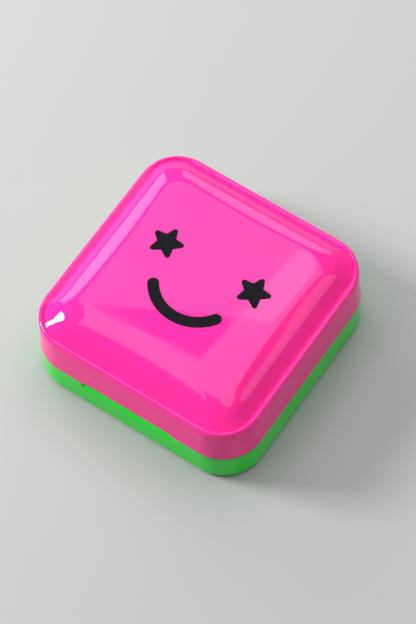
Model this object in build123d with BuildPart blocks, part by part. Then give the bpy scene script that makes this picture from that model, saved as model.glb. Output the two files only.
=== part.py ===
from build123d import *
from math import atan, cos, degrees, radians, sin
import os

# Contact lens travel case: a square two-colour case with a hinged lid.  Inside it are a mirror, a tray,
# a twin lens case with screw caps, a solution bottle, tweezers and an applicator stick.
# Millimetres.  X is the width, the hinge is at +Y, the thumb notch at -Y, and Z = 0 is the resting face.

# ---- driving dimensions: outer case ------------------------------------------------------------------
CASE_HALF = 35.0            # half the width and the depth at the parting line
CASE_CORNER = 12.1          # plan radius of the outer corners
WALL = 1.6                  # shell wall thickness
BASE_HEIGHT = 10.9          # base shell, resting face to parting line
BASE_FOOT_RADIUS = 2.0      # rounding under the base wall
PARTING_GAP = 0.2           # gap between the two rims
RIM_RADIUS = 0.3            # broken edge on the two rims
LID_WALL_TOP = 24.2         # top of the bead round the lid
LID_TAPER = 0.7             # how far the lid wall leans in over its height
BEAD_RADIUS = 0.9           # outer rounding of the bead
CREASE_HALF = 32.4          # the crease between bead and pillow
CREASE_Z = 23.7
CORNER_RATIO = 0.25         # plan corner radius of the pillow over its half width
SHOULDER_HALF = 28.7        # the steeper band of the pillow ends here
SHOULDER_Z = 26.85
SHOULDER_ROUND = 12.0
PLATEAU_Z = 29.4            # top of the case
PLATEAU_HALF = 23.3
PLATEAU_ROUND = 7.0
DOME_RADIUS = 541.0         # the plateau is a very shallow dome
DISH_HALF = 33.35           # inner top edge of the bead
DISH_CORNER = 10.3
CUT_MARGIN = 1.0            # how far a cutting outline runs past the wall it cuts
LOFT_MARGIN = 0.02          # a loft runs this far past the surface that trims it
SEEK = 0.05                 # half the band of heights in which an edge is looked for

LID_BOTTOM = BASE_HEIGHT + PARTING_GAP
INNER_HALF = CASE_HALF - WALL
INNER_CORNER = CASE_CORNER - WALL

# locating rim of the base, inside the lid wall
RIM_CLEARANCE = 0.3
RIM_THICKNESS = 1.2
RIM_TOP = 13.4
RIM_HALF = INNER_HALF - RIM_CLEARANCE
RIM_INNER_HALF = RIM_HALF - RIM_THICKNESS
RIM_CORNER = INNER_CORNER - RIM_CLEARANCE
RIM_INNER_CORNER = RIM_CORNER - RIM_THICKNESS

# thumb notch in the lid and the scooped edge under it
NOTCH_WIDTH = 30.4
NOTCH_SLANT = 2.0
NOTCH_RISE = 1.0
SCOOP_DEPTH = 0.85
SCOOP_DROP = 1.9
SCOOP_ROUND = 0.8
SCOOP_Z = BASE_HEIGHT - SCOOP_DROP

# snap ridges at the front
SNAP_WIDTH = 14.0
SNAP_PROUD = 0.12
BASE_SNAP_Z = 12.1
LID_SNAP_Z = 12.9
LID_SNAP_INSET = 0.09       # the lid wall has leant in this far at the snap ridge

# ---- hinge -------------------------------------------------------------------------------------------
KNUCKLE_RADIUS = 1.9
KNUCKLE_LENGTH = 4.8
KNUCKLE_GAP = 0.3
HINGE_X = 17.0
HINGE_Y = CASE_HALF + KNUCKLE_RADIUS + KNUCKLE_GAP
HINGE_Z = BASE_HEIGHT + PARTING_GAP / 2
PIN_RADIUS = 0.75
PIN_SEAT_CLEARANCE = 0.01
PIN_RUNNING_CLEARANCE = 0.05
PIN_CHAMFER = 0.15
WEB_ROOT = 0.6              # from the hinge axis height to the near side of a knuckle's web
WEB_RUN = 6.6               # and to where the web has died into the wall
WEB_REACH = 0.94            # the web leaves the knuckle at this share of its radius
KNUCKLE_PITCH = KNUCKLE_LENGTH + KNUCKLE_GAP

# ---- printed face on the lid -------------------------------------------------------------------------
PRINT_THICKNESS = 0.06
STAR_X = 14.1
STAR_Y = 5.7
STAR_OUTER = 5.95
STAR_INNER = 2.75
STAR_TIPS = 5
STAR_TIP_RADIUS = 0.75
PRINT_SKETCH_Z = PLATEAU_Z - 1.0
PRINT_CUT_HEIGHT = 2.0      # tall enough to pass through the film everywhere
SMILE_RADIUS = 12.3
SMILE_CENTRE_Y = 0.4
SMILE_HALF_ANGLE = 55.5
SMILE_WIDTH = 3.25

# ---- mirror in the lid -------------------------------------------------------------------------------
LID_CEILING = 27.2
TAPE_HALF = 20.5
TAPE_THICKNESS = 0.5
GLASS_HALF = 21.6
GLASS_THICKNESS = 1.6
GLASS_CORNER = 3.0
GLASS_BEVEL = 0.3
BEZEL_HALF = 23.3
BEZEL_LIP_HALF = 20.6
BEZEL_LIP = 0.6
BEZEL_FIT = 0.15
BEZEL_LIP_CORNER = 2.0

# ---- tray --------------------------------------------------------------------------------------------
TRAY_GAP = 0.3
TRAY_TOP = 9.6
TRAY_WALL = 1.2
TRAY_FLOOR_TOP = WALL + 1.0
TRAY_HALF = RIM_INNER_HALF - TRAY_GAP
TRAY_CORNER = RIM_INNER_CORNER - TRAY_GAP

# ---- twin lens case ----------------------------------------------------------------------------------
WELL_X = 14.2
WELL_Y = -17.1
CUP_RADIUS = 10.6
CUP_BOTTOM = TRAY_FLOOR_TOP + 0.2
CUP_RIM = 15.0
WELL_RADIUS = 9.4
WELL_FLOOR = 4.2
WELL_STRAIGHT = 10.0        # height where the bowl of the well begins
BRIDGE_BOTTOM = TRAY_TOP + 0.3
BRIDGE_TOP = BRIDGE_BOTTOM + 1.2
BRIDGE_RADIUS = 11.9
CAP_RADIUS = 12.5
CAP_BORE = 11.25
CAP_BOTTOM = BRIDGE_TOP + 0.3
CAP_TOP = 17.8
CAP_CEILING = 16.3
CAP_GRIPS = 30
CAP_GRIP_RADIUS = 0.7
CAP_GRIP_OFFSET = 0.55      # grip centre outside the cap, as a share of the grip radius
LINER_RADIUS = 10.5
LINER_BOTTOM = CUP_RIM + 0.1
LINER_TOP = CAP_CEILING - 0.1
LETTER_HEIGHT = 9.0
LETTER_WIDTH = 5.6
LETTER_STROKE = 1.5
LETTER_RELIEF = 0.4
LETTER_BOWL_RADIUS = 2.5
LETTER_LEG_INSET = 0.6
LETTER_LEG_OVERLAP = 1.0

# ---- solution bottle, lying along X ------------------------------------------------------------------
BOTTLE_Y = 21.6
BOTTLE_RADIUS = 8.0
BOTTLE_Z = TRAY_FLOOR_TOP + 0.3 + BOTTLE_RADIUS
BOTTLE_BASE_X = -26.0
BOTTLE_SHOULDER_X = 6.0
BOTTLE_WALL = 1.0
NECK_RADIUS = 4.4
NECK_BORE = 3.0
NECK_START_X = 11.2
NECK_END_X = 18.5
NOZZLE_FLANGE = 0.8
NOZZLE_STEM_START_X = 13.0
NOZZLE_TIP_X = 22.4
NOZZLE_BORE = 0.9
NOZZLE_LEAD_IN = 0.4
BOTTLE_CAP_START_X = 11.9
BOTTLE_CAP_END_X = 24.8
BOTTLE_CAP_RADIUS = 6.4
BOTTLE_CAP_BORE = 4.95
BOTTLE_CAP_CEILING_X = 23.5
BOTTLE_CAP_GRIPS = 18
BOTTLE_SEAL_THICKNESS = 0.8
BOTTLE_SEAL_FIT = 0.1

# ---- tweezers, lying flat along X --------------------------------------------------------------------
TWEEZERS_Y = 7.0
TWEEZERS_BOTTOM = 6.2
TWEEZERS_THICKNESS = 4.0
HEEL_START_X = -25.5
HEEL_END_X = -18.6
HEEL_HALF = 2.6
ARM_THICKNESS = 1.4
ARM_BOW = 3.6
ARM_END_X = 19.5
ARM_END_OFFSET = 2.5
PIVOT_X = -20.6
PIVOT_OFFSET = 0.95
PIVOT_RADIUS = 1.3
PIVOT_CLEARANCE = 0.2
SOCKET_MOUTH_LOW = 0.9      # mouth of the socket below and above the pivot, at the pivot
SOCKET_MOUTH_HIGH = 1.0
SOCKET_FLARE_LOW = 1.1      # and at the end of the heel
SOCKET_FLARE_HIGH = 1.5
ARM_BOW_PLACE = 0.55        # where along the arm the bow is widest
TIP_END_X = 25.6
TIP_THICKNESS = 2.0
TIP_CORNER = 0.9
TIP_SHIFT = 0.1             # how far each tip sits in from the middle line of its arm

# ---- applicator stick, lying along X -----------------------------------------------------------------
STICK_Y = -1.6
STICK_Z = 7.4
STICK_START_X = -25.0
STICK_END_X = 15.0
STICK_RADIUS = 2.0
STICK_WAIST = 1.45
STICK_PEG_RADIUS = 0.9
STICK_PEG_LENGTH = 3.0
STICK_END_ROUND = 0.8
STICK_COLLAR = 2.0
SUCKER_END_X = 23.5
SUCKER_RADIUS = 2.4
SUCKER_HOLLOW = 1.6
SUCKER_LIP = 0.4
SUCKER_STEP = 0.2           # the sucker starts this much inside the stick's collar
SUCKER_NECK_LENGTH = 4.5

os.makedirs("parts", exist_ok=True)


def rounded_square(half, corner):
    """One rounded square of the case's plan shape, centred on the case."""
    RectangleRounded(2 * half, 2 * half, corner)


def finish(part, label):
    """Name a finished piece and write it."""
    part.label = label
    export_step(part, f"parts/{label}.step")


# ---- base shell --------------------------------------------------------------------------------------
with BuildPart() as base_shell:
    with BuildSketch():
        rounded_square(CASE_HALF, CASE_CORNER)
    extrude(amount=BASE_HEIGHT)
    fillet(base_shell.edges().group_by(Axis.Z)[0], BASE_FOOT_RADIUS)
    fillet(base_shell.edges().group_by(Axis.Z)[-1], RIM_RADIUS)
    # the scooped edge where a thumb goes under the lid
    with BuildSketch(Plane.YZ.offset(-NOTCH_WIDTH / 2)):
        with BuildLine():
            Polyline(
                (-CASE_HALF - CUT_MARGIN, BASE_HEIGHT + CUT_MARGIN),
                (-CASE_HALF - CUT_MARGIN, SCOOP_Z),
                (-CASE_HALF, SCOOP_Z),
                (-CASE_HALF + SCOOP_DEPTH, BASE_HEIGHT),
                (-CASE_HALF + SCOOP_DEPTH, BASE_HEIGHT + CUT_MARGIN),
                close=True,
            )
        make_face()
    extrude(amount=NOTCH_WIDTH, mode=Mode.SUBTRACT)
    long_edges = base_shell.edges().filter_by(Axis.X)
    fillet(long_edges.filter_by_position(Axis.Z, SCOOP_Z - SEEK, SCOOP_Z + SEEK), SCOOP_ROUND)
    with BuildSketch(Plane.XY.offset(BASE_HEIGHT - WALL)):
        rounded_square(RIM_HALF, RIM_CORNER)
    extrude(amount=RIM_TOP - BASE_HEIGHT + WALL)
    fillet(base_shell.edges().group_by(Axis.Z)[-1], RIM_RADIUS)
    with BuildSketch(Plane.XY.offset(WALL)):
        rounded_square(RIM_INNER_HALF, RIM_INNER_CORNER)
    extrude(amount=RIM_TOP, mode=Mode.SUBTRACT)
    # snap ridge on the locating rim
    with Locations((0, -RIM_HALF, BASE_SNAP_Z)):
        Cylinder(SNAP_PROUD, SNAP_WIDTH, rotation=(0, 90, 0))
    # hinge knuckles, two to each side, on webs that run down into the back wall
    for side in (-1, 1):
        for place in (-1, 1):
            start = side * HINGE_X + place * KNUCKLE_PITCH - KNUCKLE_LENGTH / 2
            with BuildSketch(Plane.YZ.offset(start)):
                with Locations((HINGE_Y, HINGE_Z)):
                    Circle(KNUCKLE_RADIUS)
                with BuildLine():
                    Polyline(
                        (CASE_HALF - CUT_MARGIN, HINGE_Z - WEB_ROOT),
                        (HINGE_Y + KNUCKLE_RADIUS * WEB_REACH, HINGE_Z - WEB_ROOT),
                        (CASE_HALF - CUT_MARGIN, HINGE_Z - WEB_RUN),
                        close=True,
                    )
                make_face()
                with Locations((HINGE_Y, HINGE_Z)):
                    Circle(PIN_RADIUS + PIN_SEAT_CLEARANCE, mode=Mode.SUBTRACT)
            extrude(amount=KNUCKLE_LENGTH)
finish(base_shell.part, "base_shell")

# ---- lid shell ---------------------------------------------------------------------------------------
LID_WALL_HEIGHT = LID_WALL_TOP - LID_BOTTOM
LID_TAPER_ANGLE = degrees(atan(LID_TAPER / LID_WALL_HEIGHT))
LID_INSIDE_TURN = 22.0      # height where the inside of the wall turns in
# inside of the pillow: half width and height, up to the flat ceiling
PILLOW_INSIDE = ((32.75, LID_INSIDE_TURN), (31.3, 22.9), (28.4, 25.2), (25.8, 26.5), (24.0, LID_CEILING))

with BuildPart() as pillow:
    with BuildSketch(Plane.XY.offset(CREASE_Z)):
        rounded_square(CREASE_HALF, CREASE_HALF * CORNER_RATIO)
    with BuildSketch(Plane.XY.offset(SHOULDER_Z)):
        rounded_square(SHOULDER_HALF, SHOULDER_HALF * CORNER_RATIO)
    with BuildSketch(Plane.XY.offset(PLATEAU_Z + LOFT_MARGIN)):
        rounded_square(PLATEAU_HALF, PLATEAU_HALF * CORNER_RATIO)
    loft(ruled=True)
    with Locations((0, 0, PLATEAU_Z - DOME_RADIUS)):
        Sphere(DOME_RADIUS, rotation=(90, 0, 0), mode=Mode.INTERSECT)
    plateau = pillow.faces().sort_by(Axis.Z)[-1]
    fillet(plateau.edges(), PLATEAU_ROUND)
    shoulder = pillow.edges().filter_by_position(Axis.Z, SHOULDER_Z - SEEK, SHOULDER_Z + SEEK)
    fillet(shoulder, SHOULDER_ROUND)

with BuildPart() as lid_shell:
    with BuildSketch(Plane.XY.offset(LID_BOTTOM)):
        rounded_square(CASE_HALF, CASE_CORNER)
    extrude(amount=LID_WALL_HEIGHT, taper=LID_TAPER_ANGLE)
    fillet(lid_shell.edges().group_by(Axis.Z)[-1], BEAD_RADIUS)
    # the dish inside the bead, down to the crease
    with BuildSketch(Plane.XY.offset(CREASE_Z)):
        rounded_square(CREASE_HALF, CREASE_HALF * CORNER_RATIO)
    with BuildSketch(Plane.XY.offset(LID_WALL_TOP + LOFT_MARGIN)):
        rounded_square(DISH_HALF, DISH_CORNER)
    loft(ruled=True, mode=Mode.SUBTRACT)
    add(pillow.part)
    # hollow: straight walls, then the underside of the pillow
    with BuildSketch(Plane.XY.offset(LID_BOTTOM)):
        rounded_square(INNER_HALF, INNER_CORNER)
    extrude(amount=LID_INSIDE_TURN - LID_BOTTOM, taper=LID_TAPER_ANGLE, mode=Mode.SUBTRACT)
    for half, height in PILLOW_INSIDE:
        with BuildSketch(Plane.XY.offset(height)):
            rounded_square(half, half * CORNER_RATIO)
    loft(ruled=True, mode=Mode.SUBTRACT)
    # thumb notch through the front wall
    with BuildSketch(Plane.XZ.offset(INNER_HALF - CUT_MARGIN)):
        with BuildLine():
            Polyline(
                (-NOTCH_WIDTH / 2, LID_BOTTOM - CUT_MARGIN),
                (-NOTCH_WIDTH / 2, LID_BOTTOM),
                (-NOTCH_WIDTH / 2 + NOTCH_SLANT, LID_BOTTOM + NOTCH_RISE),
                (NOTCH_WIDTH / 2 - NOTCH_SLANT, LID_BOTTOM + NOTCH_RISE),
                (NOTCH_WIDTH / 2, LID_BOTTOM),
                (NOTCH_WIDTH / 2, LID_BOTTOM - CUT_MARGIN),
                close=True,
            )
        make_face()
    extrude(amount=WALL + 2 * CUT_MARGIN, mode=Mode.SUBTRACT)
    # snap ridge inside the front wall
    with Locations((0, -INNER_HALF + LID_SNAP_INSET, LID_SNAP_Z)):
        Cylinder(SNAP_PROUD, SNAP_WIDTH, rotation=(0, 90, 0))
    # hinge knuckles, one to each side, on webs that run up the back wall
    for side in (-1, 1):
        with BuildSketch(Plane.YZ.offset(side * HINGE_X - KNUCKLE_LENGTH / 2)):
            with Locations((HINGE_Y, HINGE_Z)):
                Circle(KNUCKLE_RADIUS)
            with BuildLine():
                Polyline(
                    (CASE_HALF - CUT_MARGIN, HINGE_Z + WEB_ROOT),
                    (HINGE_Y + KNUCKLE_RADIUS * WEB_REACH, HINGE_Z + WEB_ROOT),
                    (CASE_HALF - CUT_MARGIN, HINGE_Z + WEB_RUN),
                    close=True,
                )
            make_face()
            with Locations((HINGE_Y, HINGE_Z)):
                Circle(PIN_RADIUS + PIN_RUNNING_CLEARANCE, mode=Mode.SUBTRACT)
        extrude(amount=KNUCKLE_LENGTH)
finish(lid_shell.part, "lid_shell")

# ---- hinge pins --------------------------------------------------------------------------------------
with BuildPart() as hinge_pins:
    with BuildSketch(Plane.YZ.offset(-HINGE_X)):
        with Locations((HINGE_Y, HINGE_Z)):
            Circle(PIN_RADIUS)
    extrude(amount=KNUCKLE_PITCH + KNUCKLE_LENGTH / 2, both=True)
    chamfer(hinge_pins.edges().filter_by(GeomType.CIRCLE), PIN_CHAMFER)
    mirror(about=Plane.YZ)
finish(hinge_pins.part, "hinge_pins")

# ---- printed face ------------------------------------------------------------------------------------
def star_corners(x):
    """The corners of a star, tips and notches in turn, one tip towards the hinge."""
    corners = []
    for step in range(2 * STAR_TIPS):
        reach = STAR_OUTER if step % 2 == 0 else STAR_INNER
        turn = radians(90 + 180 / STAR_TIPS * step)
        corners.append((x + reach * cos(turn), STAR_Y + reach * sin(turn)))
    return corners


for star_label, star_x in (("left_star_print", -STAR_X), ("right_star_print", STAR_X)):
    with BuildPart() as star_print:
        with BuildSketch(Plane.XY.offset(PRINT_SKETCH_Z)) as star_outline:
            with BuildLine():
                Polyline(*star_corners(star_x), close=True)
            make_face()
            outline_corners = star_outline.vertices().sort_by_distance((star_x, STAR_Y, PRINT_SKETCH_Z))
            fillet(outline_corners[-STAR_TIPS:], STAR_TIP_RADIUS)
        extrude(amount=PRINT_CUT_HEIGHT)
        with Locations((0, 0, PLATEAU_Z - DOME_RADIUS)):
            Sphere(DOME_RADIUS + PRINT_THICKNESS, rotation=(90, 0, 0), mode=Mode.INTERSECT)
            Sphere(DOME_RADIUS, rotation=(90, 0, 0), mode=Mode.SUBTRACT)
    finish(star_print.part, star_label)

with BuildPart() as smile_print:
    with BuildSketch(Plane.XY.offset(PRINT_SKETCH_Z)):
        with BuildLine():
            CenterArc((0, SMILE_CENTRE_Y), SMILE_RADIUS, 270 - SMILE_HALF_ANGLE, 2 * SMILE_HALF_ANGLE)
        trace(line_width=SMILE_WIDTH)
        for end in (-1, 1):
            end_turn = radians(270 + end * SMILE_HALF_ANGLE)
            end_y = SMILE_CENTRE_Y + SMILE_RADIUS * sin(end_turn)
            with Locations((SMILE_RADIUS * cos(end_turn), end_y)):
                Circle(SMILE_WIDTH / 2)
    extrude(amount=PRINT_CUT_HEIGHT)
    with Locations((0, 0, PLATEAU_Z - DOME_RADIUS)):
        Sphere(DOME_RADIUS + PRINT_THICKNESS, rotation=(90, 0, 0), mode=Mode.INTERSECT)
        Sphere(DOME_RADIUS, rotation=(90, 0, 0), mode=Mode.SUBTRACT)
finish(smile_print.part, "smile_print")

# ---- mirror in the lid -------------------------------------------------------------------------------
TAPE_BOTTOM = LID_CEILING - TAPE_THICKNESS
GLASS_BOTTOM = TAPE_BOTTOM - GLASS_THICKNESS

with BuildPart() as mirror_tape:
    with BuildSketch(Plane.XY.offset(TAPE_BOTTOM)):
        rounded_square(TAPE_HALF, GLASS_CORNER)
    extrude(amount=TAPE_THICKNESS)
finish(mirror_tape.part, "mirror_tape")

with BuildPart() as mirror_glass:
    with BuildSketch(Plane.XY.offset(GLASS_BOTTOM)):
        rounded_square(GLASS_HALF, GLASS_CORNER)
    extrude(amount=GLASS_THICKNESS)
    chamfer(mirror_glass.edges().group_by(Axis.Z)[0], GLASS_BEVEL)
finish(mirror_glass.part, "mirror_glass")

with BuildPart() as mirror_bezel:
    with BuildSketch(Plane.XY.offset(GLASS_BOTTOM - BEZEL_LIP)):
        rounded_square(BEZEL_HALF, GLASS_CORNER + BEZEL_HALF - GLASS_HALF)
    extrude(amount=LID_CEILING - GLASS_BOTTOM + BEZEL_LIP)
    fillet(mirror_bezel.edges().group_by(Axis.Z)[0], BEZEL_LIP / 2)
    with BuildSketch(Plane.XY.offset(GLASS_BOTTOM)):
        rounded_square(GLASS_HALF + BEZEL_FIT, GLASS_CORNER)
    extrude(amount=LID_CEILING, mode=Mode.SUBTRACT)
    with BuildSketch(Plane.XY.offset(GLASS_BOTTOM - BEZEL_LIP)):
        rounded_square(BEZEL_LIP_HALF, BEZEL_LIP_CORNER)
    extrude(amount=LID_CEILING, mode=Mode.SUBTRACT)
finish(mirror_bezel.part, "mirror_bezel")

# ---- tray --------------------------------------------------------------------------------------------
# each pocket: low and high X, middle Y, half its width, height of its floor
BOTTLE_POCKET = (-26.5, 27.3, BOTTLE_Y, 8.3, TRAY_FLOOR_TOP)
TWEEZERS_POCKET = (-26.1, 26.2, TWEEZERS_Y, 4.7, TWEEZERS_BOTTOM - 0.2)
STICK_POCKET = (-26.3, 25.0, STICK_Y, 2.6, STICK_Z - SUCKER_RADIUS - 0.2)
POCKETS = (BOTTLE_POCKET, TWEEZERS_POCKET, STICK_POCKET)
POCKET_CORNER = 1.6
WELL_POCKET_RADIUS = 11.1
POCKET_FLOOR = 1.0
TRAY_EDGE_RADIUS = 0.5
BRIDGE_WIDTH = 13.0
CUP_FOOT_RADIUS = 1.0
CUP_RIM_RADIUS = 0.25
CAP_TOP_RADIUS = 1.0
LINER_EDGE_RADIUS = 0.2
BOTTLE_BASE_ROUND = 2.0
BOTTLE_FLOOR_DISH = 0.2     # the inside corner starts this far above the middle of the bottle's floor
SHOULDER_RUN = 3.0          # the shoulder of the bottle drops by SHOULDER_FALL over this length
SHOULDER_FALL = 1.2
NOZZLE_ROOT_RADIUS = 2.4
NOZZLE_TIP_RADIUS = 1.7


def pocket_outline(pocket, margin):
    """The plan outline of one pocket, with some margin all round."""
    x_low, x_high, middle_y, half_width, _ = pocket
    with Locations(((x_low + x_high) / 2, middle_y)):
        RectangleRounded(x_high - x_low + 2 * margin, 2 * (half_width + margin), POCKET_CORNER + margin)


with BuildPart() as inner_tray:
    with BuildSketch(Plane.XY.offset(WALL)):
        rounded_square(TRAY_HALF, TRAY_CORNER)
    extrude(amount=TRAY_TOP - WALL)
    fillet(inner_tray.edges().group_by(Axis.Z)[-1], TRAY_EDGE_RADIUS)
    with BuildSketch(Plane.XY.offset(WALL)):
        rounded_square(TRAY_HALF - TRAY_WALL, TRAY_CORNER - TRAY_WALL)
    extrude(amount=TRAY_TOP - WALL - TRAY_WALL, mode=Mode.SUBTRACT)
    for tray_pocket in POCKETS:
        pocket_underside = tray_pocket[4] - POCKET_FLOOR
        with BuildSketch(Plane.XY.offset(pocket_underside)):
            pocket_outline(tray_pocket, TRAY_WALL)
        extrude(amount=TRAY_TOP - TRAY_EDGE_RADIUS - pocket_underside)
    with BuildSketch(Plane.XY.offset(WALL)):
        with Locations((-WELL_X, WELL_Y), (WELL_X, WELL_Y)):
            Circle(WELL_POCKET_RADIUS + TRAY_WALL)
    extrude(amount=TRAY_TOP - TRAY_EDGE_RADIUS - WALL)
    for tray_pocket in POCKETS:
        with BuildSketch(Plane.XY.offset(tray_pocket[4])):
            pocket_outline(tray_pocket, 0)
        extrude(amount=TRAY_TOP, mode=Mode.SUBTRACT)
    with BuildSketch(Plane.XY.offset(TRAY_FLOOR_TOP)):
        with Locations((-WELL_X, WELL_Y), (WELL_X, WELL_Y)):
            Circle(WELL_POCKET_RADIUS)
    extrude(amount=TRAY_TOP, mode=Mode.SUBTRACT)
finish(inner_tray.part, "inner_tray")

# ---- twin lens case ----------------------------------------------------------------------------------
with BuildPart() as lens_well_body:
    # bridge plate between the two cups
    with BuildSketch(Plane.XY.offset(BRIDGE_BOTTOM)):
        with Locations((-WELL_X, WELL_Y), (WELL_X, WELL_Y)):
            Circle(BRIDGE_RADIUS)
        with Locations((0, WELL_Y)):
            Rectangle(2 * WELL_X, BRIDGE_WIDTH)
    extrude(amount=BRIDGE_TOP - BRIDGE_BOTTOM)
    with BuildSketch(Plane.XY.offset(CUP_BOTTOM)):
        with Locations((-WELL_X, WELL_Y), (WELL_X, WELL_Y)):
            Circle(CUP_RADIUS)
    extrude(amount=CUP_RIM - CUP_BOTTOM)
    cup_edges = lens_well_body.edges().filter_by(GeomType.CIRCLE)
    fillet(cup_edges.group_by(Axis.Z)[0], CUP_FOOT_RADIUS)
    fillet(lens_well_body.edges().filter_by(GeomType.CIRCLE).group_by(Axis.Z)[-1], CUP_RIM_RADIUS)
    # the two wells, straight at the top and bowl-shaped below
    for well_x in (-WELL_X, WELL_X):
        with BuildSketch(Plane((well_x, WELL_Y, 0), x_dir=(1, 0, 0), z_dir=(0, -1, 0))):
            with BuildLine():
                Line((0, WELL_FLOOR), (0, CUP_RIM + CUT_MARGIN))
                Line((0, CUP_RIM + CUT_MARGIN), (WELL_RADIUS, CUP_RIM + CUT_MARGIN))
                Line((WELL_RADIUS, CUP_RIM + CUT_MARGIN), (WELL_RADIUS, WELL_STRAIGHT))
                TangentArc((0, WELL_FLOOR), (WELL_RADIUS, WELL_STRAIGHT), tangent=(1, 0))
            make_face()
        revolve(axis=Axis((well_x, WELL_Y, 0), (0, 0, 1)), mode=Mode.SUBTRACT)
finish(lens_well_body.part, "lens_well_body")

for side_label, cap_x in (("left", -WELL_X), ("right", WELL_X)):
    with BuildPart() as screw_cap:
        with BuildSketch(Plane.XY.offset(CAP_BOTTOM)):
            with Locations((cap_x, WELL_Y)):
                Circle(CAP_RADIUS)
        extrude(amount=CAP_TOP - CAP_BOTTOM)
        fillet(screw_cap.edges().group_by(Axis.Z)[-1], CAP_TOP_RADIUS)
        with BuildSketch(Plane.XY.offset(CAP_BOTTOM)):
            with Locations((cap_x, WELL_Y)):
                with PolarLocations(CAP_RADIUS + CAP_GRIP_RADIUS * CAP_GRIP_OFFSET, CAP_GRIPS):
                    Circle(CAP_GRIP_RADIUS)
        extrude(amount=CAP_TOP - CAP_TOP_RADIUS - CAP_BOTTOM, mode=Mode.SUBTRACT)
        with BuildSketch(Plane.XY.offset(CAP_BOTTOM)):
            with Locations((cap_x, WELL_Y)):
                Circle(CAP_BORE)
        extrude(amount=CAP_CEILING - CAP_BOTTOM, mode=Mode.SUBTRACT)
        # raised letter, L or R, for the eye the lens belongs to
        with BuildSketch(Plane.XY.offset(CAP_TOP - LETTER_STROKE / 2)):
            stem_x = cap_x - LETTER_WIDTH / 2
            with Locations((stem_x + LETTER_STROKE / 2, WELL_Y)):
                Rectangle(LETTER_STROKE, LETTER_HEIGHT)
            if side_label == "left":
                with Locations((cap_x, WELL_Y - LETTER_HEIGHT / 2 + LETTER_STROKE / 2)):
                    Rectangle(LETTER_WIDTH, LETTER_STROKE)
            else:
                bowl_radius = LETTER_BOWL_RADIUS - LETTER_STROKE / 2
                bowl_y = WELL_Y + LETTER_HEIGHT / 2 - LETTER_BOWL_RADIUS
                bowl_x = cap_x + LETTER_WIDTH / 2 - LETTER_BOWL_RADIUS
                leg_top = (cap_x, bowl_y - LETTER_BOWL_RADIUS + LETTER_LEG_OVERLAP)
                leg_foot = (cap_x + LETTER_WIDTH / 2 - LETTER_LEG_INSET, WELL_Y - LETTER_HEIGHT / 2)
                with BuildLine():
                    Line((stem_x, bowl_y + bowl_radius), (bowl_x, bowl_y + bowl_radius))
                    ThreePointArc(
                        (bowl_x, bowl_y + bowl_radius),
                        (bowl_x + bowl_radius, bowl_y),
                        (bowl_x, bowl_y - bowl_radius),
                    )
                    Line((bowl_x, bowl_y - bowl_radius), (stem_x, bowl_y - bowl_radius))
                trace(line_width=LETTER_STROKE)
                with BuildLine():
                    Line(leg_top, leg_foot)
                trace(line_width=LETTER_STROKE)
        extrude(amount=LETTER_STROKE / 2 + LETTER_RELIEF)
    finish(screw_cap.part, f"{side_label}_screw_cap")

    with BuildPart() as cap_liner:
        with BuildSketch(Plane.XY.offset(LINER_BOTTOM)):
            with Locations((cap_x, WELL_Y)):
                Circle(LINER_RADIUS)
        extrude(amount=LINER_TOP - LINER_BOTTOM)
        fillet(cap_liner.edges().group_by(Axis.Z)[0], LINER_EDGE_RADIUS)
    finish(cap_liner.part, f"{side_label}_cap_liner")

# ---- solution bottle, all of it turned about the bottle's axis ---------------------------------------
BOTTLE_AXIS = Axis((0, BOTTLE_Y, BOTTLE_Z), (1, 0, 0))
BOTTLE_PLANE = Plane((0, BOTTLE_Y, BOTTLE_Z), x_dir=(1, 0, 0), z_dir=(0, -1, 0))
BOTTLE_FOOT_X = BOTTLE_BASE_X + BOTTLE_BASE_ROUND
SHOULDER_BEND_X = BOTTLE_SHOULDER_X + SHOULDER_RUN
BOTTLE_INNER_FOOT_X = BOTTLE_BASE_X + BOTTLE_WALL + BOTTLE_FLOOR_DISH
BOTTLE_INNER_RADIUS = BOTTLE_RADIUS - BOTTLE_WALL

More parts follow.
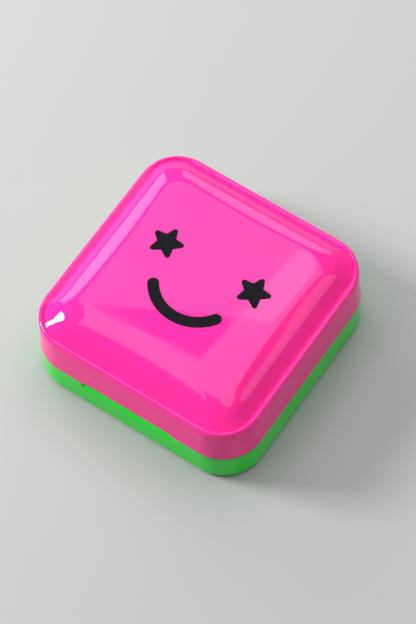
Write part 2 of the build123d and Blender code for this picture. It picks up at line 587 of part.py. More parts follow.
with BuildPart() as bottle_body:
    with BuildSketch(BOTTLE_PLANE):
        with BuildLine():
            Polyline(
                (BOTTLE_BASE_X + BOTTLE_WALL, 0),
                (BOTTLE_BASE_X, BOTTLE_RADIUS - BOTTLE_BASE_ROUND),
            )
            TangentArc(
                (BOTTLE_BASE_X, BOTTLE_RADIUS - BOTTLE_BASE_ROUND),
                (BOTTLE_FOOT_X, BOTTLE_RADIUS),
                tangent=(0, 1),
            )
            Line((BOTTLE_FOOT_X, BOTTLE_RADIUS), (BOTTLE_SHOULDER_X, BOTTLE_RADIUS))
            Spline(
                (BOTTLE_SHOULDER_X, BOTTLE_RADIUS),
                (SHOULDER_BEND_X, BOTTLE_RADIUS - SHOULDER_FALL),
                (NECK_START_X, NECK_RADIUS),
                tangents=((1, 0), (0.6, -1)),
            )
            Line((NECK_START_X, NECK_RADIUS), (NECK_END_X, NECK_RADIUS))
            Line((NECK_END_X, NECK_RADIUS), (NECK_END_X, NECK_BORE))
            Line((NECK_END_X, NECK_BORE), (NECK_START_X, NECK_BORE))
            Spline(
                (NECK_START_X, NECK_BORE),
                (SHOULDER_BEND_X - BOTTLE_WALL, BOTTLE_RADIUS - 2 * SHOULDER_FALL),
                (BOTTLE_SHOULDER_X - BOTTLE_WALL, BOTTLE_INNER_RADIUS),
                tangents=((-0.6, 1), (-1, 0)),
            )
            Line(
                (BOTTLE_SHOULDER_X - BOTTLE_WALL, BOTTLE_INNER_RADIUS),
                (BOTTLE_FOOT_X, BOTTLE_INNER_RADIUS),
            )
            TangentArc(
                (BOTTLE_FOOT_X, BOTTLE_INNER_RADIUS),
                (BOTTLE_INNER_FOOT_X, BOTTLE_RADIUS - BOTTLE_BASE_ROUND),
                tangent=(-1, 0),
            )
            Line(
                (BOTTLE_INNER_FOOT_X, BOTTLE_RADIUS - BOTTLE_BASE_ROUND),
                (BOTTLE_BASE_X + 2 * BOTTLE_WALL, 0),
            )
            Line((BOTTLE_BASE_X + 2 * BOTTLE_WALL, 0), (BOTTLE_BASE_X + BOTTLE_WALL, 0))
        make_face()
    revolve(axis=BOTTLE_AXIS)
finish(bottle_body.part, "bottle_body")

with BuildPart() as bottle_nozzle:
    with BuildSketch(BOTTLE_PLANE):
        with BuildLine():
            Polyline(
                (NOZZLE_STEM_START_X, NOZZLE_BORE),
                (NOZZLE_STEM_START_X, NECK_BORE - NOZZLE_LEAD_IN),
                (NOZZLE_STEM_START_X + NOZZLE_LEAD_IN, NECK_BORE),
                (NECK_END_X, NECK_BORE),
                (NECK_END_X, NECK_RADIUS),
                (NECK_END_X + NOZZLE_FLANGE, NECK_RADIUS),
                (NECK_END_X + NOZZLE_FLANGE, NOZZLE_ROOT_RADIUS),
                (NOZZLE_TIP_X, NOZZLE_TIP_RADIUS),
                (NOZZLE_TIP_X, NOZZLE_BORE),
                close=True,
            )
        make_face()
    revolve(axis=BOTTLE_AXIS)
finish(bottle_nozzle.part, "bottle_nozzle")

with BuildPart() as bottle_cap:
    with BuildSketch(Plane.YZ.offset(BOTTLE_CAP_START_X)):
        with Locations((BOTTLE_Y, BOTTLE_Z)):
            Circle(BOTTLE_CAP_RADIUS)
    extrude(amount=BOTTLE_CAP_END_X - BOTTLE_CAP_START_X)
    fillet(bottle_cap.edges().group_by(Axis.X)[-1], CAP_TOP_RADIUS)
    with BuildSketch(Plane.YZ.offset(BOTTLE_CAP_START_X)):
        with Locations((BOTTLE_Y, BOTTLE_Z)):
            with PolarLocations(BOTTLE_CAP_RADIUS + CAP_GRIP_RADIUS * CAP_GRIP_OFFSET, BOTTLE_CAP_GRIPS):
                Circle(CAP_GRIP_RADIUS)
    extrude(amount=BOTTLE_CAP_END_X - CAP_TOP_RADIUS - BOTTLE_CAP_START_X, mode=Mode.SUBTRACT)
    with BuildSketch(Plane.YZ.offset(BOTTLE_CAP_START_X)):
        with Locations((BOTTLE_Y, BOTTLE_Z)):
            Circle(BOTTLE_CAP_BORE)
    extrude(amount=BOTTLE_CAP_CEILING_X - BOTTLE_CAP_START_X, mode=Mode.SUBTRACT)
finish(bottle_cap.part, "bottle_cap")

with BuildPart() as bottle_cap_seal:
    with BuildSketch(Plane.YZ.offset(BOTTLE_CAP_CEILING_X)):
        with Locations((BOTTLE_Y, BOTTLE_Z)):
            Circle(BOTTLE_CAP_BORE - BOTTLE_SEAL_FIT)
    extrude(amount=-BOTTLE_SEAL_THICKNESS)
finish(bottle_cap_seal.part, "bottle_cap_seal")

# ---- tweezers: a heel with one arm, and a second arm that turns in the heel --------------------------
TWEEZERS_PLANE = Plane.XY.offset(TWEEZERS_BOTTOM)
PIVOT_Y = TWEEZERS_Y + PIVOT_OFFSET
HEEL_CORNER = 1.2


def arm_line(side):
    """The bowed middle line of one arm, from the heel to its silicone tip."""
    ThreePointArc(
        (PIVOT_X, TWEEZERS_Y + side * PIVOT_OFFSET),
        (PIVOT_X + ARM_BOW_PLACE * (ARM_END_X - PIVOT_X), TWEEZERS_Y + side * ARM_BOW),
        (ARM_END_X, TWEEZERS_Y + side * ARM_END_OFFSET),
    )


with BuildPart() as tweezers_heel_arm:
    with BuildSketch(TWEEZERS_PLANE):
        with BuildLine():
            arm_line(-1)
        trace(line_width=ARM_THICKNESS)
        with Locations(((HEEL_START_X + HEEL_END_X) / 2, TWEEZERS_Y)):
            RectangleRounded(HEEL_END_X - HEEL_START_X, 2 * HEEL_HALF, HEEL_CORNER)
        with Locations((PIVOT_X, PIVOT_Y)):
            Circle(PIVOT_RADIUS + PIVOT_CLEARANCE, mode=Mode.SUBTRACT)
        # mouth of the socket, wide enough for the second arm to swing
        with BuildLine():
            Polyline(
                (PIVOT_X, PIVOT_Y - SOCKET_MOUTH_LOW),
                (HEEL_END_X + CUT_MARGIN, PIVOT_Y - SOCKET_FLARE_LOW),
                (HEEL_END_X + CUT_MARGIN, PIVOT_Y + SOCKET_FLARE_HIGH),
                (PIVOT_X, PIVOT_Y + SOCKET_MOUTH_HIGH),
                close=True,
            )
        make_face(mode=Mode.SUBTRACT)
    extrude(amount=TWEEZERS_THICKNESS)
finish(tweezers_heel_arm.part, "tweezers_heel_arm")

with BuildPart() as tweezers_free_arm:
    with BuildSketch(TWEEZERS_PLANE):
        with BuildLine():
            arm_line(1)
        trace(line_width=ARM_THICKNESS)
        with Locations((PIVOT_X, PIVOT_Y)):
            Circle(PIVOT_RADIUS)
    extrude(amount=TWEEZERS_THICKNESS)
finish(tweezers_free_arm.part, "tweezers_free_arm")

for tip_label, tip_side in (("heel_arm_tip", -1), ("free_arm_tip", 1)):
    with BuildPart() as arm_tip:
        with BuildSketch(TWEEZERS_PLANE):
            tip_y = TWEEZERS_Y + tip_side * (ARM_END_OFFSET - TIP_SHIFT)
            with Locations(((ARM_END_X + TIP_END_X) / 2, tip_y)):
                RectangleRounded(TIP_END_X - ARM_END_X, TIP_THICKNESS, TIP_CORNER)
        extrude(amount=TWEEZERS_THICKNESS)
    finish(arm_tip.part, tip_label)

# ---- applicator stick --------------------------------------------------------------------------------
PEG_END_X = STICK_END_X + STICK_PEG_LENGTH
STICK_AXIS = Axis((0, STICK_Y, STICK_Z), (1, 0, 0))
STICK_PLANE = Plane((0, STICK_Y, STICK_Z), x_dir=(1, 0, 0), z_dir=(0, -1, 0))

with BuildPart() as applicator_stick:
    with BuildSketch(STICK_PLANE):
        with BuildLine():
            Line((STICK_START_X, 0), (STICK_START_X, STICK_RADIUS - STICK_END_ROUND))
            TangentArc(
                (STICK_START_X, STICK_RADIUS - STICK_END_ROUND),
                (STICK_START_X + STICK_END_ROUND, STICK_RADIUS),
                tangent=(0, 1),
            )
            Spline(
                (STICK_START_X + STICK_END_ROUND, STICK_RADIUS),
                ((STICK_START_X + STICK_END_X) / 2, STICK_WAIST),
                (STICK_END_X - STICK_COLLAR, STICK_RADIUS),
                tangents=((1, 0), (1, 0)),
            )
            Polyline(
                (STICK_END_X - STICK_COLLAR, STICK_RADIUS),
                (STICK_END_X, STICK_RADIUS),
                (STICK_END_X, STICK_PEG_RADIUS),
                (PEG_END_X, STICK_PEG_RADIUS),
                (PEG_END_X, 0),
                (STICK_START_X, 0),
            )
        make_face()
    revolve(axis=STICK_AXIS)
finish(applicator_stick.part, "applicator_stick")

with BuildPart() as applicator_sucker:
    with BuildSketch(STICK_PLANE):
        with BuildLine():
            Polyline(
                (STICK_END_X, STICK_PEG_RADIUS),
                (STICK_END_X, STICK_RADIUS - SUCKER_STEP),
                (STICK_END_X + SUCKER_NECK_LENGTH, STICK_WAIST),
                (SUCKER_END_X, SUCKER_RADIUS),
                (SUCKER_END_X, SUCKER_RADIUS - SUCKER_LIP),
            )
            TangentArc(
                (SUCKER_END_X - SUCKER_HOLLOW, 0),
                (SUCKER_END_X, SUCKER_RADIUS - SUCKER_LIP),
                tangent=(0, 1),
            )
            Polyline(
                (SUCKER_END_X - SUCKER_HOLLOW, 0),
                (PEG_END_X, 0),
                (PEG_END_X, STICK_PEG_RADIUS),
                (STICK_END_X, STICK_PEG_RADIUS),
            )
        make_face()
    revolve(axis=STICK_AXIS)
finish(applicator_sucker.part, "applicator_sucker")
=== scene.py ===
"""Looks of a square contact lens travel case with a mirror lid, a twin lens case, a bottle and tools.

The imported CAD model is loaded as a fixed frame.  The two glossy shells are rebuilt here as smooth skinned
surfaces with moulded detail, small repeated detail is grown with Geometry Nodes, and every surface gets a
procedural finish.  Blender's scene is in metres; sizes that belong to mouldings are written in millimetres
and multiplied by MM.
"""
import logging
import math
from dataclasses import dataclass, field
from enum import Enum
from functools import cached_property
from typing import Callable, Sequence, Union

import bmesh
import bpy
from mathutils import Matrix, Vector

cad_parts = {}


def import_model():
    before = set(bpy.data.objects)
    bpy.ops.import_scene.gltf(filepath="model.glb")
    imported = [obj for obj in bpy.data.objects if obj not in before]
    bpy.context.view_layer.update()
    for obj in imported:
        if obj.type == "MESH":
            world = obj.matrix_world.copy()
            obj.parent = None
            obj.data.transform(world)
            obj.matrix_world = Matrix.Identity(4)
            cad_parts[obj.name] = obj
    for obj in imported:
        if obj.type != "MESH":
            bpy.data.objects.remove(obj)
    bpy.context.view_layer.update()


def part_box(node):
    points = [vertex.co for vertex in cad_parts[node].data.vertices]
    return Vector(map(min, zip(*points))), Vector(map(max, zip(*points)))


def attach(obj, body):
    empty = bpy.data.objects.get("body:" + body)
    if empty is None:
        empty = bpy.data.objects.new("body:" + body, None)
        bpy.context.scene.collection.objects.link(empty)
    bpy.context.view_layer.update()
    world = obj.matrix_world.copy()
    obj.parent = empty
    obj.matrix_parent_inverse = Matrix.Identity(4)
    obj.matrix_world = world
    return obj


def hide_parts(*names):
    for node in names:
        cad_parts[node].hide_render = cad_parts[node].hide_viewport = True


LOG = logging.getLogger("lens_case")
MM = 0.001

Point2 = tuple[float, float]
Point3 = tuple[float, float, float]
Colour = tuple[float, float, float]
Socket = bpy.types.NodeSocket
Value = Union[Socket, float, Colour]

MOST_NOISE = (0.3, 0.7)


# ======================================================================================================
# Materials
# ======================================================================================================
class ShaderGraph:
    """A thin helper that builds one material's node tree, with patterns in the object's own millimetres."""

    def __init__(self, name: str) -> None:
        """Create a material that holds a bare surface shader.

        Args:
            name: the material's name.
        """
        self.material = bpy.data.materials.new(name)
        self.material.use_nodes = True
        self.tree = self.material.node_tree
        self.tree.nodes.clear()
        output = self.tree.nodes.new("ShaderNodeOutputMaterial")
        self.principled = self.tree.nodes.new("ShaderNodeBsdfPrincipled")
        self.feed(output.inputs["Surface"], self.principled.outputs["BSDF"])

    def feed(self, target: Socket, value: Value) -> None:
        """Give an input a link or a fixed value.

        Args:
            target: the input.
            value: a socket to link from, a number or a colour.
        """
        if isinstance(value, Socket):
            self.tree.links.new(value, target)
        elif target.type == "RGBA":
            target.default_value = (*value, 1.0)
        else:
            target.default_value = value

    def node(self, kind: str, values: dict[str, Value], **settings: object) -> bpy.types.ShaderNode:
        """Add one node.

        Args:
            kind: the node's type name without its ShaderNode start.
            values: what each named input gets.
            settings: attributes of the node.

        Returns:
            The new node.
        """
        made = self.tree.nodes.new("ShaderNode" + kind)
        for key, setting in settings.items():
            setattr(made, key, setting)
        for key, value in values.items():
            self.feed(made.inputs[key], value)
        return made

    def shade(self, values: dict[str, Value]) -> None:
        """Set or feed inputs of the surface shader.

        Args:
            values: what each named input gets.
        """
        for key, value in values.items():
            self.feed(self.principled.inputs[key], value)

    @cached_property
    def place(self) -> Socket:
        """Object coordinates in millimetres, made on first use."""
        coordinates = self.node("TexCoord", {}).outputs["Object"]
        return self.node("Mapping", {"Vector": coordinates, "Scale": (1 / MM,) * 3}).outputs["Vector"]

    def noise(self, scale: float, detail: float = 3.0, stretch: Point3 = (1.0, 1.0, 1.0)) -> Socket:
        """A noise texture.

        Args:
            scale: features per millimetre.
            detail: octaves of finer noise.
            stretch: scale along each axis, for drawn or brushed grain.

        Returns:
            The noise, about 0 to 1.
        """
        vector = self.node("Mapping", {"Vector": self.place, "Scale": stretch}).outputs["Vector"]
        return self.node("TexNoise", {"Vector": vector, "Scale": scale, "Detail": detail}).outputs["Fac"]

    def ramp(self, factor: Socket, span: Point2, results: Point2 = (0.0, 1.0)) -> Socket:
        """Map a factor from one range to another, clamped.

        Args:
            factor: the socket to map.
            span: the factors that give the first and the last result.
            results: the first and the last result.

        Returns:
            The mapped factor.
        """
        limits = {"From Min": span[0], "From Max": span[1], "To Min": results[0], "To Max": results[1]}
        return self.node("MapRange", {"Value": factor, **limits}, clamp=True).outputs["Result"]

    def mix(self, factor: Socket, first: Value, second: Value) -> Socket:
        """Mix two colours.

        Args:
            factor: the share of the second colour.
            first: the colour at factor 0, fixed or fed.
            second: the colour at factor 1, fixed or fed.

        Returns:
            The mixed colour.
        """
        mixer = self.node("Mix", {"Factor": factor}, data_type="RGBA")
        colour_inputs = [socket for socket in mixer.inputs if socket.type == "RGBA"]
        self.feed(colour_inputs[0], first)
        self.feed(colour_inputs[1], second)
        return next(socket for socket in mixer.outputs if socket.type == "RGBA")

    def combine(self, operation: str, first: Socket, second: Socket) -> Socket:
        """Combine two values with a Math node.

        Args:
            operation: the node's operation.
            first: a value.
            second: a value.

        Returns:
            The result.
        """
        made = self.node("Math", {}, operation=operation)
        self.feed(made.inputs[0], first)
        self.feed(made.inputs[1], second)
        return made.outputs["Value"]

    def bump(self, height: Socket, depth_mm: float) -> None:
        """Drive the surface normal from a height.

        Args:
            height: the height, 0 to 1.
            depth_mm: the depth in millimetres that height 1 stands for.
        """
        relief = self.node("Bump", {"Strength": 1.0, "Distance": depth_mm * MM, "Height": height})
        self.shade({"Normal": relief.outputs["Normal"]})

    def uneven(self, level: float, scale: float, swing: Point2) -> Socket:
        """A level that drifts over the surface between two shares of itself.

        Args:
            level: the level.
            scale: patches per millimetre.
            swing: lowest and highest share.

        Returns:
            The drifting level.
        """
        return self.ramp(self.noise(scale), MOST_NOISE, (level * swing[0], level * swing[1]))


def tinted(colour: Colour, share: float, lift: float = 0.0) -> Colour:
    """A colour multiplied by a share and lifted, held at 1."""
    return tuple(min(1.0, c * share + lift) for c in colour)


@dataclass(frozen=True)
class MouldedPlastic:
    """An injection-moulded plastic: flow marks, orange peel, hairline scratches and worn edges."""

    name: str
    colour: Colour
    roughness: float = 0.12
    colour_swing: float = 0.05
    flow_scale: float = 0.045
    peel_mm: float = 0.004
    peel_scale: float = 0.35
    grain_mm: float = 0.0
    grain_scale: float = 6.0
    smear_scale: float = 0.09
    scratch: float = 0.10
    wear: float = 0.10
    wear_paleness: float = 0.35
    subsurface: float = 0.0
    transmission: float = 0.0
    ior: float = 1.52

    def build(self) -> bpy.types.Material:
        """Make the material.

        Returns:
            The finished material.
        """
        graph = ShaderGraph(self.name)
        flow = graph.ramp(graph.noise(self.flow_scale, 2.0, (1.0, 1.0, 2.2)), MOST_NOISE)
        darker = tinted(self.colour, 1 - self.colour_swing)
        body = graph.mix(flow, darker, tinted(self.colour, 1 + self.colour_swing))
        worn = tinted(self.colour, 1 - self.wear_paleness, self.wear_paleness)
        graph.shade({
            "Base Color": graph.mix(self._edge_factor(graph), body, worn),
            "Roughness": self._roughness(graph),
            "IOR": self.ior,
            "Subsurface Weight": self.subsurface,
            "Subsurface Radius": (1.0, 0.6, 0.6),
            "Subsurface Scale": 0.6 * MM,
            "Transmission Weight": self.transmission,
        })
        self._relief(graph)
        return graph.material

    def _edge_factor(self, graph: ShaderGraph) -> Socket:
        """Where handling has burnished the convex edges.

        Args:
            graph: the material being built.

        Returns:
            The share of the worn colour.
        """
        pointiness = graph.node("NewGeometry", {}).outputs["Pointiness"]
        edge = graph.ramp(pointiness, (0.52, 0.62), (0.0, self.wear))
        patches = graph.ramp(graph.noise(0.5, 4.0), (0.42, 0.6), (0.25, 1.0))
        return graph.combine("MULTIPLY", edge, patches)

    def _roughness(self, graph: ShaderGraph) -> Socket:
        """Smears, and hairline scratches in two directions.

        Args:
            graph: the material being built.

        Returns:
            The roughness.
        """
        swing = (self.roughness * 0.8, self.roughness * 1.25)
        smear = graph.ramp(graph.noise(self.smear_scale), (0.35, 0.7), swing)
        along = graph.ramp(graph.noise(1.1, 2.0, (0.06, 2.6, 1.0)), (0.69, 0.74), (0.0, self.scratch * 0.5))
        crossing = graph.noise(1.3, 2.0, (2.2, 0.08, 1.0))
        across = graph.ramp(crossing, (0.70, 0.75), (0.0, self.scratch * 0.4))
        return graph.combine("ADD", smear, graph.combine("ADD", along, across))

    def _relief(self, graph: ShaderGraph) -> None:
        """Orange peel, and a fine grain where the mould was textured.

        Args:
            graph: the material being built.
        """
        depth = max(self.peel_mm, self.grain_mm)
        height = graph.ramp(graph.noise(self.peel_scale, 1.0), (0.0, 1.0), (0.0, self.peel_mm / depth))
        if self.grain_mm > 0:
            grain = graph.ramp(graph.noise(self.grain_scale, 2.0), MOST_NOISE, (0.0, self.grain_mm / depth))
            height = graph.combine("ADD", height, grain)
        graph.bump(height, depth)


@dataclass(frozen=True)
class PrintedInk:
    """A pad-printed ink film: satin, very slightly uneven in cover and thickness."""

    name: str
    colour: Colour
    roughness: float = 0.42
    thickness_mm: float = 0.004

    def build(self) -> bpy.types.Material:
        """Make the material.

        Returns:
            The finished material.
        """
        graph = ShaderGraph(self.name)
        cover = graph.ramp(graph.noise(0.8), (0.35, 0.7))
        graph.shade({
            "Base Color": graph.mix(cover, self.colour, tinted(self.colour, 1.4, 0.001)),
            "Roughness": graph.uneven(self.roughness, 2.2, (0.85, 1.15)),
            "IOR": 1.45,
            "Specular IOR Level": 0.05,
        })
        graph.bump(graph.noise(5.0), self.thickness_mm)
        return graph.material


@dataclass(frozen=True)
class DrawnMetal:
    """Drawn wire or turned rod: grain along one axis, dull handling marks."""

    name: str
    colour: Colour
    roughness: float = 0.28
    stretch: Point3 = (0.05, 3.0, 3.0)
    grain_mm: float = 0.006

    def build(self) -> bpy.types.Material:
        """Make the material.

        Returns:
            The finished material.
        """
        graph = ShaderGraph(self.name)
        grain = graph.noise(4.0, stretch=self.stretch)
        graph.shade({
            "Base Color": graph.mix(grain, tinted(self.colour, 0.86), self.colour),
            "Roughness": graph.uneven(self.roughness, 0.7, (0.8, 1.3)),
            "Metallic": 1.0,
        })
        graph.bump(grain, self.grain_mm)
        return graph.material


@dataclass(frozen=True)
class SilveredGlass:
    """A small glass mirror: bright, with faint finger haze."""

    name: str
    colour: Colour = (0.90, 0.92, 0.93)
    clean: float = 0.012
    smeared: float = 0.06

    def build(self) -> bpy.types.Material:
        """Make the material.

        Returns:
            The finished material.
        """
        graph = ShaderGraph(self.name)
        haze = graph.noise(0.12, 4.0)
        graph.shade({
            "Base Color": graph.mix(haze, tinted(self.colour, 0.97), self.colour),
            "Roughness": graph.ramp(haze, (0.55, 0.75), (self.clean, self.smeared)),
            "Metallic": 1.0,
        })
        graph.bump(graph.noise(0.05, 1.0), 0.001)
        return graph.material


@dataclass(frozen=True)
class FoamTape:
    """Closed-cell foam tape: matt, with small open cells whose pits carry painted shade."""

    name: str
    colour: Colour
    cells_per_mm: float = 3.0
    cell_mm: float = 0.08

    def build(self) -> bpy.types.Material:
        """Make the material.

        Returns:
            The finished material.
        """
        graph = ShaderGraph(self.name)
        cells = graph.node("TexVoronoi", {"Vector": graph.place, "Scale": self.cells_per_mm})
        shade = graph.ramp(cells.outputs["Distance"], (0.0, 0.6))
        # Painted shade: the value that sinks the pits as bump also darkens them to three quarters of the
        # colour.
        colour = graph.mix(shade, tinted(self.colour, 0.75), self.colour)
        graph.shade({"Base Color": colour, "Roughness": 0.9})
        graph.bump(shade, self.cell_mm)
        return graph.material


class Finish(Enum):
    """Every finish on the object."""

    PINK_ABS = MouldedPlastic("pink_abs", (0.93, 0.020, 0.275), roughness=0.045, wear=0.03,
                              colour_swing=0.03, subsurface=0.05, scratch=0.03, ior=1.38)
    GREEN_ABS = MouldedPlastic("green_abs", (0.004, 0.66, 0.022), roughness=0.08, wear=0.05,
                               colour_swing=0.04, subsurface=0.05, scratch=0.06, ior=1.38)
    PINK_INSIDE = MouldedPlastic("pink_abs_inside", (0.88, 0.010, 0.27), roughness=0.34, grain_mm=0.01,
                                 colour_swing=0.04, scratch=0.12)
    GREEN_INSIDE = MouldedPlastic("green_abs_inside", (0.008, 0.50, 0.024), roughness=0.36, grain_mm=0.01,
                                  colour_swing=0.05, scratch=0.12)
    BLACK_INK = PrintedInk("black_ink", (0.005, 0.005, 0.0075))
    WHITE_TRAY = MouldedPlastic("white_pp_tray", (0.78, 0.79, 0.78), roughness=0.42, grain_mm=0.018,
                                grain_scale=4.0, colour_swing=0.03, scratch=0.2, subsurface=0.1)
    WHITE_GLOSS = MouldedPlastic("white_pp_gloss", (0.82, 0.83, 0.83), roughness=0.2, colour_swing=0.02,
                                 subsurface=0.12, scratch=0.12)
    PINK_PP = MouldedPlastic("pink_pp", (0.86, 0.06, 0.30), roughness=0.24, grain_mm=0.006, scratch=0.15)
    GREEN_PP = MouldedPlastic("green_pp", (0.05, 0.50, 0.09), roughness=0.24, grain_mm=0.006, scratch=0.15)
    CLEAR_PE = MouldedPlastic("clear_pe", (0.86, 0.93, 0.96), roughness=0.16, transmission=0.85,
                              colour_swing=0.02, scratch=0.1, ior=1.48)
    SILICONE = MouldedPlastic("silicone", (0.74, 0.80, 0.83), roughness=0.38, transmission=0.25,
                              subsurface=0.15, peel_mm=0.006, scratch=0.05, ior=1.41)
    STEEL = DrawnMetal("pin_steel", (0.60, 0.60, 0.61))
    MIRROR = SilveredGlass("mirror_silver")
    TAPE = FoamTape("foam_tape", (0.74, 0.73, 0.68))


class FinishShelf:
    """Builds each finish once and hands it out."""

    def __init__(self) -> None:
        """Start with nothing built."""
        self._built: dict[Finish, bpy.types.Material] = {}

    def get(self, finish: Finish) -> bpy.types.Material:
        """The material of one finish, built on first use.

        Args:
            finish: which finish.

        Returns:
            The material.
        """
        if finish not in self._built:
            self._built[finish] = finish.value.build()
        return self._built[finish]

    def paint(self, obj: bpy.types.Object, *finishes: Finish) -> None:
        """Give an object its material slots, the last finish filling any slot that is left.

        Args:
            obj: the object.
            finishes: one finish per slot.
        """
        slots = obj.data.materials
        for index in range(max(len(slots), len(finishes))):
            material = self.get(finishes[min(index, len(finishes) - 1)])
            if index < len(slots):
                slots[index] = material
            else:
                slots.append(material)

    def dress(self, finishes: dict[str, Finish]) -> None:
        """Paint pieces of the frame that keep their CAD shape.

        Args:
            finishes: the finish of each node, by name.
        """
        for name, finish in finishes.items():
            self.paint(bpy.data.objects[name], finish)
        LOG.info("painted: %s", ", ".join(finishes))


# ======================================================================================================
# Skinned rounded squares
# ======================================================================================================
@dataclass(frozen=True)
class Ring:
    """One rounded-square ring of a skinned moulding, in millimetres."""

    half: float
    corner: float
    z: float
    sharp: bool = False


@dataclass
class SquareOutline:
    """The shared parametrisation of every ring: straight sides and quarter-round corners."""

    side_stations: Sequence[float]
    corner_steps: int = 20

    def points(self, ring: Ring) -> list[Point2]:
        """Points round one ring, counter-clockwise from the left end of the front side.

        Args:
            ring: the ring's size.

        Returns:
            The points in the plane of the ring, in millimetres.
        """
        straight = ring.half - ring.corner
        side = [(station * straight, -ring.half) for station in self.side_stations]
        corner = arc((straight, -straight), ring.corner, -90, 0, self.corner_steps)[1:-1]
        outline: list[Point2] = []
        for quarter in range(4):
            turn = math.radians(90 * quarter)
            cos_t, sin_t = math.cos(turn), math.sin(turn)
            outline += [(x * cos_t - y * sin_t, x * sin_t + y * cos_t) for x, y in side + corner]
        return outline

    def count(self) -> int:
        """Number of points in every ring."""
        return 4 * (len(self.side_stations) + self.corner_steps - 1)


Deform = Callable[[float, float, Ring], Point3]


def in_scene(name: str, data: bpy.types.ID) -> bpy.types.Object:
    """Put a new object into the scene.

    Args:
        name: the object's name.
        data: its mesh, curve, light or camera.

    Returns:
        The object, at the origin.
    """
    obj = bpy.data.objects.new(name, data)
    bpy.context.scene.collection.objects.link(obj)
    return obj


def skin(name: str, rings: Sequence[Ring], outline: SquareOutline, deform: Deform,
         material_of: Callable[[int], int]) -> bpy.types.Object:
    """Skin rings into one closed surface whose first and last ring shrink to a point.

    Args:
        name: the object's name.
        rings: the rings in order; the first and last have half width 0.
        outline: the shared parametrisation.
        deform: moves each point, given x and y in millimetres and its ring.
        material_of: material index of the band after ring i.

    Returns:
        The new object, in metres.
    """
    vertices: list[Point3] = []
    starts: list[int] = []
    for ring in rings:
        starts.append(len(vertices))
        points = [(0.0, 0.0)] if ring.half == 0 else outline.points(ring)
        vertices += [tuple(c * MM for c in deform(x, y, ring)) for x, y in points]
    count = outline.count()
    faces: list[tuple[int, ...]] = []
    for index in range(len(rings) - 1):
        low, high = starts[index], starts[index + 1]
        for k in range(count):
            n = (k + 1) % count
            if rings[index].half == 0:
                faces.append((low, high + n, high + k))
            elif rings[index + 1].half == 0:
                faces.append((low + k, low + n, high))
            else:
                faces.append((low + k, low + n, high + n, high + k))
    mesh = bpy.data.meshes.new(name)
    mesh.from_pydata(vertices, [], faces)
    bands = [material_of(index) for index in range(len(rings) - 1) for _ in range(count)]
    mesh.polygons.foreach_set("material_index", bands)
    mesh.polygons.foreach_set("use_smooth", [True] * len(faces))
    sharp_spans = [range(start, start + count) for start, ring in zip(starts, rings) if ring.sharp]
    for edge in mesh.edges:
        first, second = edge.vertices
        if any(first in span and second in span for span in sharp_spans):
            edge.use_edge_sharp = True
    mesh.update()
    return in_scene(name, mesh)


def arc(centre: Point2, radius: float, start: float, end: float, steps: int) -> list[Point2]:
    """Points on an arc in a plane.

    Args:
        centre: the centre, such as (half width, height) in a profile.
        radius: the arc's radius.
        start: first angle in degrees, 0 along the first axis and 90 along the second.
        end: last angle in degrees.
        steps: number of spans.

    Returns:
        steps + 1 points.
    """
    angles = [math.radians(start + (end - start) * k / steps) for k in range(steps + 1)]
    return [(centre[0] + radius * math.cos(a), centre[1] + radius * math.sin(a)) for a in angles]


def smooth_min(first: float, second: float, reach: float) -> float:
    """The smaller of two values, rounded where they are within reach of each other.

    Args:
        first: a value.
        second: a value.
        reach: the width of the rounded zone.

    Returns:
        The rounded minimum.
    """
    mix = max(reach - abs(first - second), 0.0) / reach
    return min(first, second) - mix * mix * mix * reach / 6.0


def clamped(value: float) -> float:
    """A value held between 0 and 1."""
    return min(max(value, 0.0), 1.0)


def ease(value: float, low: float, high: float) -> float:
    """A smooth step from 0 at low to 1 at high."""
    t = clamped((value - low) / (high - low))
    return t * t * (3 - 2 * t)


# ======================================================================================================
# Case shells
# ======================================================================================================
@dataclass
class CaseFrame:
    """The driving sizes of the case, in millimetres; width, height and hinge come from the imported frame."""

    half: float = 0.0
    top: float = 0.0
    hinge: Point2 = (0.0, 0.0)
    corner: float = 12.1
    least_corner_share: float = 0.3
    wall: float = 1.6
    base_height: float = 10.9
    parting_gap: float = 0.2
    notch_width: float = 30.4
    notch_slant: float = 2.0
    notch_rise: float = 1.0
    side_spans: int = 24
    notch_stations: int = 18
    notch_spacing: float = 0.2
    outline: SquareOutline = field(default_factory=lambda: SquareOutline(()))

    @classmethod
    def read(cls) -> "CaseFrame":
        """Take the sizes from the frame's nodes.

        Returns:
            The filled-in sizes.
        """
        case = cls()
        case.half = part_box("base_shell")[1].x / MM
        case.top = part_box("lid_shell")[1].z / MM
        pin_low, pin_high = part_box("hinge_pins")
        case.hinge = ((pin_low.y + pin_high.y) / 2 / MM, (pin_low.z + pin_high.z) / 2 / MM)
        case.outline = SquareOutline(case.stations())
        LOG.info("case is %.1f mm wide and %.1f mm high", 2 * case.half, case.top)
        return case

    @property
    def parting(self) -> float:
        """Height of the lid's rim."""
        return self.base_height + self.parting_gap

    def stations(self) -> list[float]:
        """Where the points of a straight side lie, closer together at the ends of the thumb notch.

        Returns:
            Shares of the half side, from -1 to 1.
        """
        straight = self.half - self.corner
        fine_from = self.notch_width / 2 - self.notch_slant - 3 * self.notch_spacing
        even = {round(2 * k / self.side_spans - 1, 4) for k in range(self.side_spans + 1)}
        fine = {
            round(side * (fine_from + self.notch_spacing * k) / straight, 4)
            for side in (-1, 1)
            for k in range(self.notch_stations)
        }
        return sorted(even | fine)

    def ring(self, half: float, z: float, sharp: bool = False) -> Ring:
        """A ring parallel to the outer wall.

        Args:
            half: half width.
            z: height.
            sharp: whether the shading breaks here.

        Returns:
            The ring.
        """
        corner = max(self.corner - (self.half - half), self.least_corner_share * half)
        return Ring(half, corner, z, sharp)

    def rings(self, profile: Sequence[Point2]) -> list[Ring]:
        """Rings parallel to the outer wall, one for each (half width, height)."""
        return [self.ring(half, z) for half, z in profile]


